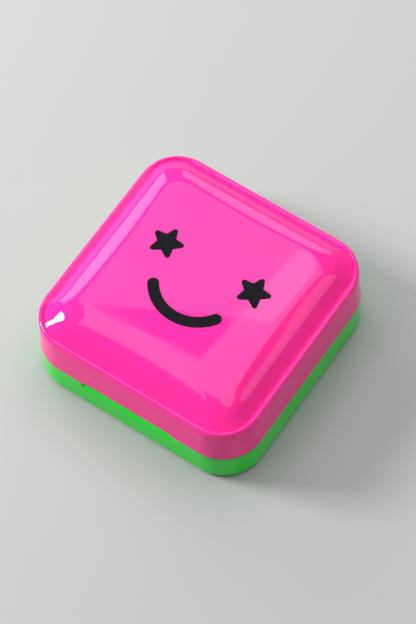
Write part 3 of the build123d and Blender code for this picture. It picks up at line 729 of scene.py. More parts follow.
def stand_in(obj: bpy.types.Object, node: str, body: str) -> None:
    """Let a rebuilt moulding take the place of its CAD node.

    Args:
        obj: the moulding.
        node: the node that it replaces.
        body: the body that it rides on.
    """
    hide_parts(node)
    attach(obj, body)
    LOG.info("%s: %d faces", obj.name, len(obj.data.polygons))


@dataclass
class LidShell:
    """The pink lid: tapered wall, bead, crease and pillow top, hollow below."""

    case: CaseFrame
    lean: float = 0.7
    wall_top: float = 24.2
    bead: float = 0.9
    crease_half: float = 32.4
    crease_z: float = 23.7
    corner_ratio: float = 0.25
    dish: tuple[Point2, ...] = ((33.3, 24.18), (33.1, 24.12), (32.85, 24.0), (32.62, 23.85))
    dish_half: float = 33.35
    dish_corner: float = 10.3
    shoulder_half: float = 28.7
    shoulder_z: float = 26.85
    plateau_half: float = 23.3
    dome_radius: float = 541.0
    shoulder_reach: float = 0.6
    plateau_reach: float = 0.67
    pillow_step: float = 0.35
    pillow_steps: int = 32
    plateau_rings: tuple[float, ...] = (19.0, 16.5, 13.5, 10.0, 6.5, 3.0)
    edge: float = 0.3
    ceiling: float = 27.2
    ceiling_rings: tuple[float, ...] = (8.0, 16.0)
    inside: tuple[Point2, ...] = ((24.0, 27.2), (25.8, 26.5), (28.4, 25.2), (31.3, 22.9))
    inside_foot: Point2 = (32.75, 22.0)
    inside_shares: tuple[float, ...] = (0.75, 0.5, 0.3, 0.15)
    wall_rings: tuple[float, ...] = (0.6, 0.9, 1.2, 1.5, 1.9, 2.4, 3.2, 4.5, 6.0, 8.0, 10.0)
    notch_depth: float = 2.5
    notch_low: float = 0.5
    notch_high: float = 2.4

    def pillow_z(self, half: float, x: float, y: float) -> float:
        """Height of the pillow.

        Args:
            half: half width of the ring that the point is on.
            x: the point's x.
            y: the point's y.

        Returns:
            The height, in millimetres.
        """
        steep = (self.shoulder_z - self.crease_z) / (self.crease_half - self.shoulder_half)
        gentle = (self.case.top - self.shoulder_z) / (self.shoulder_half - self.plateau_half)
        lower = self.crease_z + steep * (self.crease_half - half)
        upper = self.shoulder_z + gentle * (self.shoulder_half - half)
        slope = smooth_min(lower, upper, self.shoulder_reach)
        dome = self.case.top - self.dome_radius + math.sqrt(self.dome_radius ** 2 - x * x - y * y)
        return smooth_min(slope, dome, self.plateau_reach)

    def pillow_ring(self, half: float, z: float, sharp: bool = False) -> Ring:
        """A ring of the pillow, whose corners shrink with it."""
        return Ring(half, half * self.corner_ratio, z, sharp)

    def inner_rings(self) -> list[Ring]:
        """The hollow, from the middle of the ceiling down to the rim.

        Returns:
            The rings.
        """
        case = self.case
        inner = case.half - case.wall
        foot_half, foot_z = self.inside_foot
        rings = [Ring(0.0, 0.0, self.ceiling)]
        rings += case.rings([(half, self.ceiling) for half in self.ceiling_rings])
        rings += [self.pillow_ring(half, z, True) for half, z in self.inside]
        rings.append(case.ring(foot_half, foot_z))
        rings += case.rings([
            (inner - (inner - foot_half) * share, case.parting + (foot_z - case.parting) * share)
            for share in self.inside_shares
        ])
        return rings + [case.ring(inner, case.parting, True)]

    def outer_rings(self) -> list[Ring]:
        """The outside, from the rim over the bead and the crease to the middle of the top.

        Returns:
            The rings; those below zero belong to the pillow.
        """
        case = self.case
        height = self.wall_top - case.parting
        crown = (case.half - self.lean - self.bead, self.wall_top - self.bead)
        crease = self.pillow_ring(self.crease_half, self.crease_z, True)
        rings = case.rings(arc((case.half - self.edge, case.parting + self.edge), self.edge, -90, 0, 4))
        rings += case.rings([
            (case.half - self.lean * z / height, case.parting + z)
            for z in (*self.wall_rings, height - self.bead - 0.4)
        ])
        rings += case.rings(arc(crown, self.bead, 2, 90, 10))
        for half, z in self.dish:
            share = (half - self.crease_half) / (self.dish_half - self.crease_half)
            rings.append(Ring(half, crease.corner + (self.dish_corner - crease.corner) * share, z))
        halves = [self.crease_half - 0.15]
        halves += [self.crease_half - self.pillow_step * k for k in range(1, self.pillow_steps + 1)]
        rings += [crease] + [self.pillow_ring(half, -1.0) for half in (*halves, *self.plateau_rings)]
        return rings + [Ring(0.0, 0.0, -1.0)]

    def shape(self, x: float, y: float, ring: Ring) -> Point3:
        """Lift the rim at the thumb notch and set the pillow's height.

        Args:
            x: point on the plain ring.
            y: point on the plain ring.
            ring: the ring itself; a ring below zero belongs to the pillow.

        Returns:
            The point's place.
        """
        if ring.z < 0:
            return (x, y, self.pillow_z(ring.half, x, y))
        case, z = self.case, ring.z
        if y < self.notch_depth - case.half and z < case.parting + self.notch_high:
            slant = clamped((case.notch_width / 2 - abs(x)) / case.notch_slant)
            held = 1.0 - ease(z, case.parting + self.notch_low, case.parting + self.notch_high)
            z += case.notch_rise * slant * held
        return (x, y, z)

    def build(self, shelf: FinishShelf) -> None:
        """Make the lid's skin.

        Args:
            shelf: the finishes.
        """
        inner = self.inner_rings()
        rim = len(inner) - 1
        rings = inner + self.outer_rings()
        lid = skin("lid_moulding", rings, self.case.outline, self.shape, lambda band: int(band < rim))
        shelf.paint(lid, Finish.PINK_ABS, Finish.PINK_INSIDE)
        stand_in(lid, "lid_shell", "lid")


@dataclass
class BaseShell:
    """The green base: rounded foot, straight wall, scooped thumb edge and a locating rim inside the lid."""

    case: CaseFrame
    foot: float = 2.0
    foot_rings: tuple[float, ...] = (8.0, 16.0, 24.0, 30.0, 32.4)
    edge: float = 0.3
    wall_drops: tuple[float, ...] = (7.0, 5.0, 3.4, 2.8)
    scoop_from: float = 2.5
    scoop_step: float = 0.2
    scoop_rings: int = 11
    ledge_rings: tuple[float, ...] = (34.2, 33.6)
    rim_half: float = 33.1
    rim_inner: float = 31.9
    rim_top: float = 13.4
    rim_rises: tuple[float, ...] = (0.5, 1.2)
    room_heights: tuple[float, ...] = (9.0, 5.0, 2.2)
    room_fillet: tuple[Point2, ...] = ((0.2, 0.15), (0.6, 0.0))
    floor_rings: tuple[float, ...] = (24.0, 16.0, 8.0)
    scoop_depth: float = 0.85
    scoop_drop: float = 1.9
    scoop_fade: float = 0.6
    scoop_ends: Point2 = (-0.5, 0.2)
    scoop_round: float = 1.0

    def outer_rings(self) -> list[Ring]:
        """The outside, from the middle of the underside to the ledge that meets the rim.

        Returns:
            The rings.
        """
        case = self.case
        crest = case.base_height
        scoop = [self.scoop_from - self.scoop_step * k for k in range(self.scoop_rings)]
        rings = [Ring(0.0, 0.0, 0.0)] + case.rings([(half, 0.0) for half in self.foot_rings])
        rings += case.rings(arc((case.half - self.foot, self.foot), self.foot, -90, 0, 12))
        rings += case.rings([(case.half, crest - drop) for drop in (*self.wall_drops, *scoop)])
        rings += case.rings(arc((case.half - self.edge, crest - self.edge), self.edge, 0, 90, 5))
        return rings + case.rings([(half, crest) for half in self.ledge_rings])

    def inner_rings(self) -> list[Ring]:
        """The inside, from the root of the locating rim, over it, to the middle of the floor.

        Returns:
            The rings.
        """
        case = self.case
        floor, crest, crown = case.wall, case.base_height, self.rim_top - self.edge
        rings = [case.ring(self.rim_half, crest, True)]
        rings += case.rings([(self.rim_half, crest + rise) for rise in self.rim_rises])
        rings += case.rings(arc((self.rim_half - self.edge, crown), self.edge, 0, 90, 4))
        rings += case.rings(arc((self.rim_inner + self.edge, crown), self.edge, 90, 180, 4))
        rings += case.rings([(self.rim_inner, z) for z in self.room_heights])
        rings += case.rings([(self.rim_inner - inward, floor + up) for inward, up in self.room_fillet])
        rings += case.rings([(half, floor) for half in self.floor_rings])
        return rings + [Ring(0.0, 0.0, floor)]

    def shape(self, x: float, y: float, ring: Ring) -> Point3:
        """Lean the front edge in where a thumb goes under the lid.

        Args:
            x: point on the plain ring.
            y: point on the plain ring.
            ring: the ring itself.

        Returns:
            The point's place.
        """
        case, z = self.case, ring.z
        start = case.base_height - self.scoop_drop
        if y > -self.rim_half or z < start - self.scoop_fade or z > case.base_height + 0.01:
            return (x, y, z)
        end_from, end_to = (case.notch_width / 2 + end for end in self.scoop_ends)
        along = 1.0 - ease(abs(x), end_from, end_to)
        rise = -smooth_min(start - z, 0.0, self.scoop_round) / self.scoop_drop
        across = clamped((ring.half - self.rim_half) / (case.half - self.edge - self.rim_half))
        return (x, y + self.scoop_depth * along * rise * across, z)

    def build(self, shelf: FinishShelf) -> None:
        """Make the base's skin.

        Args:
            shelf: the finishes.
        """
        outer = self.outer_rings()
        rim = len(outer)
        rings = outer + self.inner_rings()
        base = skin("base_moulding", rings, self.case.outline, self.shape, lambda band: int(band >= rim))
        shelf.paint(base, Finish.GREEN_ABS, Finish.GREEN_INSIDE)
        stand_in(base, "base_shell", "base")


# ======================================================================================================
# Hinge
# ======================================================================================================
def plain_mesh(obj: bpy.types.Object, name: str) -> bpy.types.Mesh:
    """The evaluated shape of an object as a plain mesh.

    Args:
        obj: a curve, or a mesh with modifiers.
        name: the new mesh's name.

    Returns:
        The mesh.
    """
    bpy.context.view_layer.update()
    evaluated = obj.evaluated_get(bpy.context.evaluated_depsgraph_get())
    mesh = bpy.data.meshes.new_from_object(evaluated)
    mesh.name = name
    return mesh


def weld(mesh: bpy.types.Mesh, reach: float, sharp_degrees: float) -> None:
    """Merge doubled points, point the normals outward and shade smooth except at sharp edges.

    Args:
        mesh: the mesh to tidy.
        reach: merge distance in metres.
        sharp_degrees: edges with a larger angle stay sharp.
    """
    work = bmesh.new()
    work.from_mesh(mesh)
    bmesh.ops.remove_doubles(work, verts=work.verts, dist=reach)
    bmesh.ops.recalc_face_normals(work, faces=work.faces)
    for face in work.faces:
        face.smooth = True
    for edge in work.edges:
        edge.smooth = len(edge.link_faces) == 2 and edge.calc_face_angle() < math.radians(sharp_degrees)
    work.to_mesh(mesh)
    work.free()


def plate(name: str, outlines: Sequence[Sequence[Point2]], centre_x: float, length: float,
          bevel: float) -> bpy.types.Object:
    """A flat plate with holes and rounded edges, cut in the YZ plane and pulled along X.

    Args:
        name: the object's name.
        outlines: the outer outline, then any holes, as (y, z) in millimetres.
        centre_x: middle of the plate along X.
        length: thickness along X.
        bevel: radius of the rounded edges.

    Returns:
        The plate as a mesh object.
    """
    curve = bpy.data.curves.new(name, "CURVE")
    curve.dimensions = "2D"
    curve.fill_mode = "BOTH"
    curve.extrude = length / 2 * MM
    for outline in outlines:
        spline = curve.splines.new("POLY")
        spline.points.add(len(outline) - 1)
        for point, (y, z) in zip(spline.points, outline):
            point.co = (y * MM, z * MM, 0.0, 1.0)
        spline.use_cyclic_u = True
    holder = in_scene(name + "_outline", curve)
    mesh = plain_mesh(holder, name)
    bpy.data.objects.remove(holder)
    mesh.transform(Matrix(((0, 0, 1, centre_x * MM), (1, 0, 0, 0), (0, 1, 0, 0), (0, 0, 0, 1))))
    weld(mesh, 2e-6, 25.0)
    obj = in_scene(name, mesh)
    rounding = obj.modifiers.new("rounding", "BEVEL")
    rounding.width = bevel * MM
    rounding.segments = 3
    rounding.limit_method = "ANGLE"
    rounding.angle_limit = math.radians(40)
    rounding.harden_normals = True
    return obj


@dataclass
class Hinge:
    """Two sets of moulded knuckles at the back, three to a set, on two steel pins."""

    case: CaseFrame
    radius: float = 1.9
    hole: float = 0.76
    length: float = 4.8
    pitch: float = 5.1
    set_x: float = 17.0
    bevel: float = 0.18
    hole_sides: int = 24
    root_depth: float = 0.8
    web_root: float = 0.6
    web_run: float = 6.6

    def outline(self, up: int) -> list[Point2]:
        """Side view of one knuckle and its web.

        Args:
            up: 1 for a knuckle of the lid, -1 for one of the base.

        Returns:
            The outline as (y, z).
        """
        y, z = self.case.hinge
        root = self.case.half - self.root_depth
        lean = math.degrees(math.asin(self.web_root / self.radius))
        barrel = arc((y, z), self.radius, 180 + lean, -lean, 30)
        points = [(root, z + up * self.web_root)] + [(a, 2 * z - b if up > 0 else b) for a, b in barrel]
        slope = (self.web_run - self.web_root) / (y + self.radius - self.case.half + 1)
        return points + [(root, z + up * (self.web_run - slope * (root - self.case.half + 1)))]

    def build(self, shelf: FinishShelf) -> None:
        """Make every knuckle, the lid's between two of the base's, and paint the pins.

        Args:
            shelf: the finishes.
        """
        hole = arc(self.case.hinge, self.hole, 0, 360, self.hole_sides)[:-1]
        for side, side_name in ((-1, "left"), (1, "right")):
            for place, body, up, colour, finish in (
                (-1, "base", -1, "green", Finish.GREEN_ABS),
                (0, "lid", 1, "pink", Finish.PINK_ABS),
                (1, "base", -1, "green", Finish.GREEN_ABS),
            ):
                name = f"{side_name}_{body}_knuckle_{place + 1}"
                centre = side * self.set_x + place * self.pitch
                knuckle = plate(name, (self.outline(up), hole), centre, self.length, self.bevel)
                shelf.paint(knuckle, finish)
                stand_in(knuckle, f"{body}_shell", body)
        shelf.dress({"hinge_pins": Finish.STEEL})


# ======================================================================================================
# Repeated and path-following detail
# ======================================================================================================
class GrowthGraph:
    """One Geometry Nodes tree with named inputs, and the means to turn its result into plain meshes."""

    def __init__(self, name: str, inputs: dict[str, str]) -> None:
        """Create an empty tree with a geometry output.

        Args:
            name: the tree's name.
            inputs: kind of each named input: Float, Int, Vector or Material.
        """
        self.tree = bpy.data.node_groups.new(name, "GeometryNodeTree")
        self.tree.interface.new_socket("Geometry", in_out="OUTPUT", socket_type="NodeSocketGeometry")
        for key, kind in {**inputs, "Material": "Material"}.items():
            self.tree.interface.new_socket(key, in_out="INPUT", socket_type=f"NodeSocket{kind}")
        self.given = self.tree.nodes.new("NodeGroupInput").outputs

    def node(self, kind: str, values: dict[str, object], **settings: object) -> Socket:
        """Add one node.

        Args:
            kind: the node's type name without its GeometryNode start.
            values: a socket or a fixed value for each input's name.
            settings: attributes of the node.

        Returns:
            The node's first output.
        """
        made = self.tree.nodes.new("GeometryNode" + kind)
        for key, setting in settings.items():
            setattr(made, key, setting)
        for key, value in values.items():
            self._feed(made.inputs[key], value)
        return made.outputs[0]

    def _feed(self, target: Socket, value: object) -> None:
        """Give an input a link or a fixed value.

        Args:
            target: the input.
            value: a socket to link from, or a fixed value.
        """
        if isinstance(value, Socket):
            self.tree.links.new(value, target)
        else:
            target.default_value = value

    def sums(self, operation: str, first: object, second: object = 0.0) -> Socket:
        """A Math node.

        Args:
            operation: the node's operation.
            first: a socket or a number.
            second: a socket or a number.

        Returns:
            The result.
        """
        made = self.tree.nodes.new("ShaderNodeMath")
        made.operation = operation
        self._feed(made.inputs[0], first)
        self._feed(made.inputs[1], second)
        return made.outputs[0]

    def along(self) -> Socket:
        """Share of a curve's length at each of its points."""
        return self.node("SplineParameter", {})

    def upright(self, share: float) -> Socket:
        """A point above or below the origin.

        Args:
            share: the point's height as a share of the tree's Height.

        Returns:
            The point.
        """
        made = self.tree.nodes.new("ShaderNodeCombineXYZ")
        self._feed(made.inputs["Z"], self.sums("MULTIPLY", self.given["Height"], share))
        return made.outputs[0]

    def rod(self, path: Socket, sides: int) -> Socket:
        """Sweep a round section of the tree's Ridge Radius along a path, with closed ends.

        Args:
            path: the path; its own radius scales the section.
            sides: number of sides of the section.

        Returns:
            The swept geometry.
        """
        radius = self.given["Ridge Radius"]
        section = self.node("CurvePrimitiveCircle", {"Radius": radius, "Resolution": sides})
        return self.node("CurveToMesh", {"Curve": path, "Profile Curve": section, "Fill Caps": True})

    def close(self, geometry: Socket) -> None:
        """End the tree in Realize Instances and Set Material.

        Args:
            geometry: what was grown.
        """
        smooth = self.node("SetShadeSmooth", {"Geometry": geometry})
        real = self.node("RealizeInstances", {"Geometry": smooth})
        painted = self.node("SetMaterial", {"Geometry": real, "Material": self.given["Material"]})
        self.tree.links.new(painted, self.tree.nodes.new("NodeGroupOutput").inputs[0])

    def grow(self, name: str, body: str, slot: str, values: dict[str, object]) -> None:
        """Run the tree once, keep its result as a plain welded mesh and let it ride a body.

        Args:
            name: the new piece's name.
            body: the body's name.
            slot: the material slot's name in the record; not used.
            values: value of each named input.
        """
        holder = in_scene(name + "_seed", bpy.data.meshes.new(name + "_seed"))
        growth = holder.modifiers.new("growth", "NODES")
        growth.node_group = self.tree
        for item in self.tree.interface.items_tree:
            if item.in_out == "INPUT":
                growth[item.identifier] = values[item.name]
        mesh = plain_mesh(holder, name)
        holder.modifiers.remove(growth)
        bpy.data.objects.remove(holder)
        piece = in_scene(name, mesh)
        weld(mesh, 1e-7, 60.0)
        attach(piece, body)
        LOG.info("%s: %d faces", name, len(mesh.polygons))


class Growths:
    """The three kinds of grown detail: screw threads, rows of ribs, and rows of rings or arcs."""

    def __init__(self) -> None:
        """Build every tree."""
        self.thread = self._thread()
        self.ribs = self._ribs()
        self.hoops = self._hoops()

    def _thread(self) -> GrowthGraph:
        """A helical ridge that fades into the neck at both ends.

        Returns:
            The tree.
        """
        graph = GrowthGraph("screw_thread", {
            "Root Radius": "Float", "Ridge Radius": "Float", "Turns": "Float", "Rise": "Float",
            "Place": "Vector", "Rotation": "Vector",
        })
        given = graph.given
        root = given["Root Radius"]
        spiral = graph.node("CurveSpiral", {
            "Rotations": given["Turns"], "Start Radius": root, "End Radius": root,
            "Height": given["Rise"], "Resolution": 72,
        })
        fade_rate, least = 12.0, 0.15
        along = graph.along()
        lead_in = graph.sums("MULTIPLY", along, fade_rate)
        run_out = graph.sums("MULTIPLY", graph.sums("SUBTRACT", 1.0, along), fade_rate)
        fade = graph.sums("MINIMUM", graph.sums("MINIMUM", lead_in, run_out), 1.0)
        radius = graph.sums("MAXIMUM", fade, least)
        faded = graph.node("SetCurveRadius", {"Curve": spiral, "Radius": radius})
        graph.close(graph.node("Transform", {
            "Geometry": graph.rod(faded, 10), "Translation": given["Place"], "Rotation": given["Rotation"],
        }))
        return graph

    def _ribs(self) -> GrowthGraph:
        """Upright half-round ribs set side by side along a bowed line.

        Returns:
            The tree.
        """
        graph = GrowthGraph("grip_ribs", {
            "Start": "Vector", "Middle": "Vector", "End": "Vector", "From": "Float", "To": "Float",
            "Count": "Int", "Height": "Float", "Ridge Radius": "Float",
        })
        given = graph.given
        ends = {key: given[key] for key in ("Start", "Middle", "End")}
        bow = graph.node("CurveArc", {**ends, "Resolution": 64}, mode="POINTS")
        span = {"Start": given["From"], "End": given["To"]}
        part = graph.node("TrimCurve", {"Curve": bow, **span}, mode="FACTOR")
        spots = graph.node("ResampleCurve", {"Curve": part, "Count": given["Count"]})
        line = graph.node("CurvePrimitiveLine", {"Start": graph.upright(-0.5), "End": graph.upright(0.5)})
        post = graph.node("ResampleCurve", {"Curve": line, "Count": 7})
        end_power, least = 6.0, 0.25
        centred = graph.sums("SUBTRACT", graph.sums("MULTIPLY", graph.along(), 2.0), 1.0)
        crown = graph.sums("SUBTRACT", 1.0, graph.sums("POWER", graph.sums("ABSOLUTE", centred), end_power))
        thick = graph.node("SetCurveRadius", {"Curve": post, "Radius": graph.sums("MAXIMUM", crown, least)})
        graph.close(graph.node("InstanceOnPoints", {"Points": spots, "Instance": graph.rod(thick, 10)}))
        return graph

    def _hoops(self) -> GrowthGraph:
        """Rings, or parts of rings, set along a line.

        Returns:
            The tree.
        """
        graph = GrowthGraph("row_of_hoops", {
            "First": "Vector", "Step": "Vector", "Count": "Int", "Radius": "Float", "Sweep": "Float",
            "Rotation": "Vector", "Ridge Radius": "Float",
        })
        given = graph.given
        bend = {"Radius": given["Radius"], "Sweep Angle": given["Sweep"]}
        arch = graph.node("CurveArc", {**bend, "Resolution": 40}, mode="RADIUS")
        hoop = graph.node("Transform", {"Geometry": graph.rod(arch, 8), "Rotation": given["Rotation"]})
        line = graph.node("MeshLine", {
            "Count": given["Count"], "Start Location": given["First"], "Offset": given["Step"],
        })
        graph.close(graph.node("InstanceOnPoints", {"Points": line, "Instance": hoop}))
        return graph


def metres(*millimetres: float) -> tuple[float, ...]:
    """A place in metres from one in millimetres."""
    return tuple(value * MM for value in millimetres)


# ======================================================================================================
# Contents
# ======================================================================================================
@dataclass
class TrayMirrorAndFace:
    """What needs no more than paint: the printed face, the taped-in mirror with its bezel, and the tray."""

    finishes: dict[str, Finish] = field(default_factory=lambda: {
        "left_star_print": Finish.BLACK_INK,
        "right_star_print": Finish.BLACK_INK,
        "smile_print": Finish.BLACK_INK,
        "mirror_tape": Finish.TAPE,
        "mirror_glass": Finish.MIRROR,
        "mirror_bezel": Finish.WHITE_GLOSS,
        "inner_tray": Finish.WHITE_TRAY,
    })

    def build(self, shelf: FinishShelf) -> None:
        """Paint the nodes with finishes from the shelf."""
        shelf.dress(self.finishes)


@dataclass
class TwinLensCase:
    """Two wells on a bridge, each with a liner, a ribbed screw cap and a helical thread on its neck."""

    well: Point2 = (14.2, -17.1)
    cup_radius: float = 10.58
    thread_low: float = 12.0
    thread_rise: float = 2.3
    turns: float = 1.15
    ridge: float = 0.3

    def build(self, shelf: FinishShelf, growths: Growths) -> None:
        """Dress the nodes and grow the threads.

        Args:
            shelf: the finishes.
            growths: the node trees.
        """
        shelf.dress({"lens_well_body": Finish.WHITE_GLOSS})
        for side, side_name, finish in ((-1, "left", Finish.PINK_PP), (1, "right", Finish.GREEN_PP)):
            shelf.dress({f"{side_name}_screw_cap": finish, f"{side_name}_cap_liner": Finish.SILICONE})
            growths.thread.grow(f"{side_name}_well_thread", "lens_case", "white_cap", {
                "Root Radius": self.cup_radius * MM,
                "Ridge Radius": self.ridge * MM,
                "Turns": self.turns,
                "Rise": self.thread_rise * MM,
                "Place": metres(side * self.well[0], self.well[1], self.thread_low),
                "Rotation": (0.0, 0.0, math.pi * (side < 0)),
                "Material": shelf.get(Finish.WHITE_GLOSS),
            })


@dataclass
class SolutionBottle:
    """The squeeze bottle: threaded neck, drip nozzle, cap with its seal, and moulded level marks."""

    axis: Point2 = (21.6, 10.9)
    radius: float = 7.97
    neck_radius: float = 4.38
    thread_start: float = 12.4
    thread_rise: float = 4.4
    turns: float = 2.2
    ridge: float = 0.3
    mark_first: float = -20.0
    mark_step: float = 6.0
    mark_count: int = 5
    mark_sweep: float = 34.0
    mark_ridge: float = 0.13

    def build(self, shelf: FinishShelf, growths: Growths) -> None:
        """Dress the nodes and grow the thread and the level marks.

        Args:
            shelf: the finishes.
            growths: the node trees.
        """
        shelf.dress({
            "bottle_body": Finish.CLEAR_PE,
            "bottle_nozzle": Finish.WHITE_GLOSS,
            "bottle_cap": Finish.PINK_PP,
            "bottle_cap_seal": Finish.SILICONE,
        })
        growths.thread.grow("bottle_neck_thread", "bottle", "clear_pe", {
            "Root Radius": self.neck_radius * MM,
            "Ridge Radius": self.ridge * MM,
            "Turns": self.turns,
            "Rise": self.thread_rise * MM,
            "Place": metres(self.thread_start, *self.axis),
            "Rotation": (0.0, math.pi / 2, 0.0),
            "Material": shelf.get(Finish.CLEAR_PE),
        })
        growths.hoops.grow("bottle_level_marks", "bottle", "clear_pe", {
            "First": metres(self.mark_first, *self.axis),
            "Step": metres(self.mark_step, 0.0, 0.0),
            "Count": self.mark_count,
            "Radius": self.radius * MM,
            "Sweep": math.radians(self.mark_sweep),
            "Rotation": (math.radians(90 - self.mark_sweep / 2), 0.0, math.pi / 2),
            "Ridge Radius": self.mark_ridge * MM,
            "Material": shelf.get(Finish.CLEAR_PE),
        })


@dataclass
class LensTweezers:
    """Springy tweezers with silicone tips and finger ribs on the outer face of each arm."""

    middle_y: float = 7.0
    middle_z: float = 8.2
    pivot_x: float = -20.6
    pivot_offset: float = 0.95
    end_x: float = 19.5
    end_offset: float = 2.5
    bow: float = 3.6
    bow_place: float = 0.55
    arm_half: float = 0.68
    rib_count: int = 9
    rib_radius: float = 0.2
    rib_height: float = 3.2
    rib_span: Point2 = (0.40, 0.62)

    def build(self, shelf: FinishShelf, growths: Growths) -> None:
        """Dress the nodes and grow the finger ribs.

        Args:
            shelf: the finishes.
            growths: the node trees.
        """
        bow_x = self.pivot_x + self.bow_place * (self.end_x - self.pivot_x)
        for side, arm, tip, body in (
            (-1, "tweezers_heel_arm", "heel_arm_tip", "tweezers"),
            (1, "tweezers_free_arm", "free_arm_tip", "tweezers_arm"),
        ):
            shelf.dress({arm: Finish.PINK_PP, tip: Finish.SILICONE})
            growths.ribs.grow(arm + "_ribs", body, "pink_pp", {
                "Start": self._point(self.pivot_x, side, self.pivot_offset),
                "Middle": self._point(bow_x, side, self.bow),
                "End": self._point(self.end_x, side, self.end_offset),
                "From": self.rib_span[0],
                "To": self.rib_span[1],
                "Count": self.rib_count,
                "Height": self.rib_height * MM,
                "Ridge Radius": self.rib_radius * MM,
                "Material": shelf.get(Finish.PINK_PP),
            })

    def _point(self, x: float, side: int, offset: float) -> tuple[float, ...]:
        """A point on the outer face of an arm; offset is how far its middle line stands out."""
        return metres(x, self.middle_y + side * (offset + self.arm_half), self.middle_z)


@dataclass
class Applicator:
    """The lens applicator: a waisted stick with grip rings and a soft sucker."""

    axis: Point2 = (-1.6, 7.4)
    waist: float = 1.47
    ring_first: float = -9.0
    ring_step: float = 1.3
    ring_count: int = 7
    ridge: float = 0.2

    def build(self, shelf: FinishShelf, growths: Growths) -> None:
        """Dress the nodes and grow the grip rings.

        Args:
            shelf: the finishes.
            growths: the node trees.
        """
        shelf.dress({"applicator_stick": Finish.GREEN_PP, "applicator_sucker": Finish.SILICONE})
        growths.hoops.grow("applicator_grip_rings", "stick", "green_pp", {
            "First": metres(self.ring_first, *self.axis),
            "Step": metres(self.ring_step, 0.0, 0.0),
            "Count": self.ring_count,
            "Radius": self.waist * MM,
            "Sweep": 2 * math.pi,
            "Rotation": (0.0, math.pi / 2, 0.0),
            "Ridge Radius": self.ridge * MM,
            "Material": shelf.get(Finish.GREEN_PP),
        })


# ======================================================================================================
# Stage, lights and camera
# ======================================================================================================
class LightShape(Enum):
    """Outline of a soft light."""

    PANEL = "RECTANGLE"
    ROUND = "DISK"


@dataclass(frozen=True)
class SoftLight:
    """One soft light: where it stands, how large and how bright its face is, in metres and W/m2/sr."""

    name: str
    place: Point3
    width: float
    height: float
    radiance: float
    shape: LightShape = LightShape.PANEL
    level: bool = False
    turn: float = 0.0

    def build(self) -> None:
        """Create the light, facing the case, or straight down and turned in its plane if it is level."""
        data = bpy.data.lights.new(self.name, "AREA")
        data.shape = self.shape.value
        data.size = self.width
        area = self.width * self.height
        if self.shape is LightShape.PANEL:
            data.size_y = self.height
        else:
            area *= math.pi / 4
        data.energy = self.radiance * math.pi * area
        light = in_scene(self.name, data)
        light.location = self.place
        if self.level:
            light.rotation_euler.z = math.radians(self.turn)
        else:
            light.rotation_mode = "QUATERNION"
            light.rotation_quaternion = Vector(self.place).to_track_quat("Z", "Y")


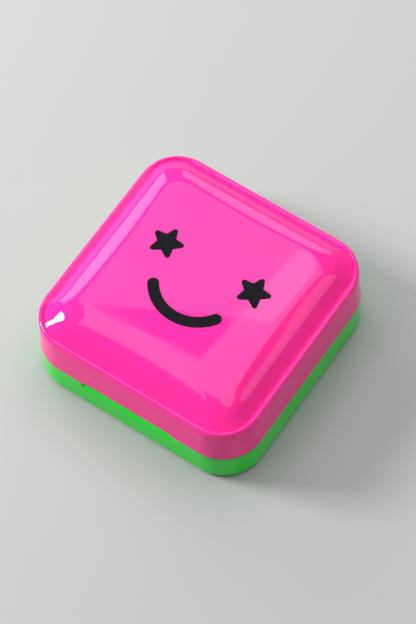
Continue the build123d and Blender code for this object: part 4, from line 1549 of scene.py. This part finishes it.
@dataclass
class Stage:
    """A plain pale floor, an even world and the soft lights."""

    floor_half: float = 3.0
    floor_drop: float = 0.02
    floor_colour: Colour = (0.37, 0.38, 0.37)
    floor_roughness: float = 0.75
    world_colour: Colour = (0.95, 0.97, 1.0)
    world_strength: float = 0.36
    lights: tuple[SoftLight, ...] = (
        SoftLight("left_softbox", (-0.3326, 0.4388, 0.752), 0.40, 0.40, 1.9, level=True, turn=24.4),
        SoftLight("overhead_panel", (0.083, 0.205, 0.75), 0.514, 0.71, 2.2, level=True),
        SoftLight("front_panel", (-0.26, -0.1035, 0.75), 0.18, 0.633, 2.5, level=True),
        SoftLight("left_back_panel", (-0.80, 0.33, 0.32), 0.50, 0.40, 4.4),
        SoftLight("back_panel", (-0.25, 0.85, 0.30), 0.50, 0.30, 2.4),
        SoftLight("right_panel", (0.55, 0.35, 0.55), 0.30, 0.30, 1.6),
        SoftLight("left_key", (-0.71, -0.27, 0.50), 0.30, 0.30, 40.0, LightShape.ROUND),
    )

    def build(self) -> None:
        """Make the floor, the world and the lights."""
        mesh = bpy.data.meshes.new("floor")
        signs = ((-1, -1), (1, -1), (1, 1), (-1, 1))
        corners = [(self.floor_half * x, self.floor_half * y, 0) for x, y in signs]
        mesh.from_pydata(corners, [], [(0, 1, 2, 3)])
        floor = in_scene("floor", mesh)
        floor.location.z = -self.floor_drop * MM
        graph = ShaderGraph("pale_floor")
        graph.shade({"Base Color": self.floor_colour, "Roughness": self.floor_roughness})
        mesh.materials.append(graph.material)
        world = bpy.data.worlds.new("even_sky")
        world.use_nodes = True
        sky = world.node_tree.nodes["Background"]
        sky.inputs["Color"].default_value = (*self.world_colour, 1.0)
        sky.inputs["Strength"].default_value = self.world_strength
        bpy.context.scene.world = world
        bpy.context.scene.view_settings.view_transform = "Standard"
        for light in self.lights:
            light.build()
        LOG.info("stage: floor, sky and %d lights", len(self.lights))


@dataclass(frozen=True)
class StudioCamera:
    """The camera: azimuth and elevation of the view, roll, distance and aim, with a long lens."""

    azimuth: float = 38.02
    elevation: float = 61.76
    roll: float = -4.43
    distance_mm: float = 819.0
    aim_mm: Point3 = (1.46, 1.42, 12.0)
    lens: float = 173.3
    sensor: float = 36.0

    def build(self) -> None:
        """Create the camera and make it the scene's."""
        a, e, roll = (math.radians(v) for v in (self.azimuth, self.elevation, self.roll))
        back = Vector((math.sin(a) * math.cos(e), -math.cos(a) * math.cos(e), math.sin(e)))
        right = Vector((math.cos(a), math.sin(a), 0.0))
        up = back.cross(right)
        turned_right = right * math.cos(roll) + up * math.sin(roll)
        turned_up = up * math.cos(roll) - right * math.sin(roll)
        data = bpy.data.cameras.new("studio_camera")
        data.sensor_width = self.sensor
        data.lens = self.lens
        data.clip_start, data.clip_end = 0.05, 20.0
        camera = in_scene("studio_camera", data)
        place = (Vector(self.aim_mm) + back * self.distance_mm) * MM
        axes = Matrix((turned_right, turned_up, back)).transposed().to_4x4()
        camera.matrix_world = Matrix.Translation(place) @ axes
        bpy.context.scene.camera = camera


def main() -> None:
    logging.basicConfig(level=logging.INFO, format="%(name)s: %(message)s")
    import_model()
    shelf = FinishShelf()
    growths = Growths()
    case = CaseFrame.read()
    for shell in (LidShell(case), BaseShell(case), Hinge(case), TrayMirrorAndFace()):
        shell.build(shelf)
    for content in (TwinLensCase(), SolutionBottle(), LensTweezers(), Applicator()):
        content.build(shelf, growths)
    Stage().build()
    StudioCamera().build()


if __name__ == "__main__":
    main()
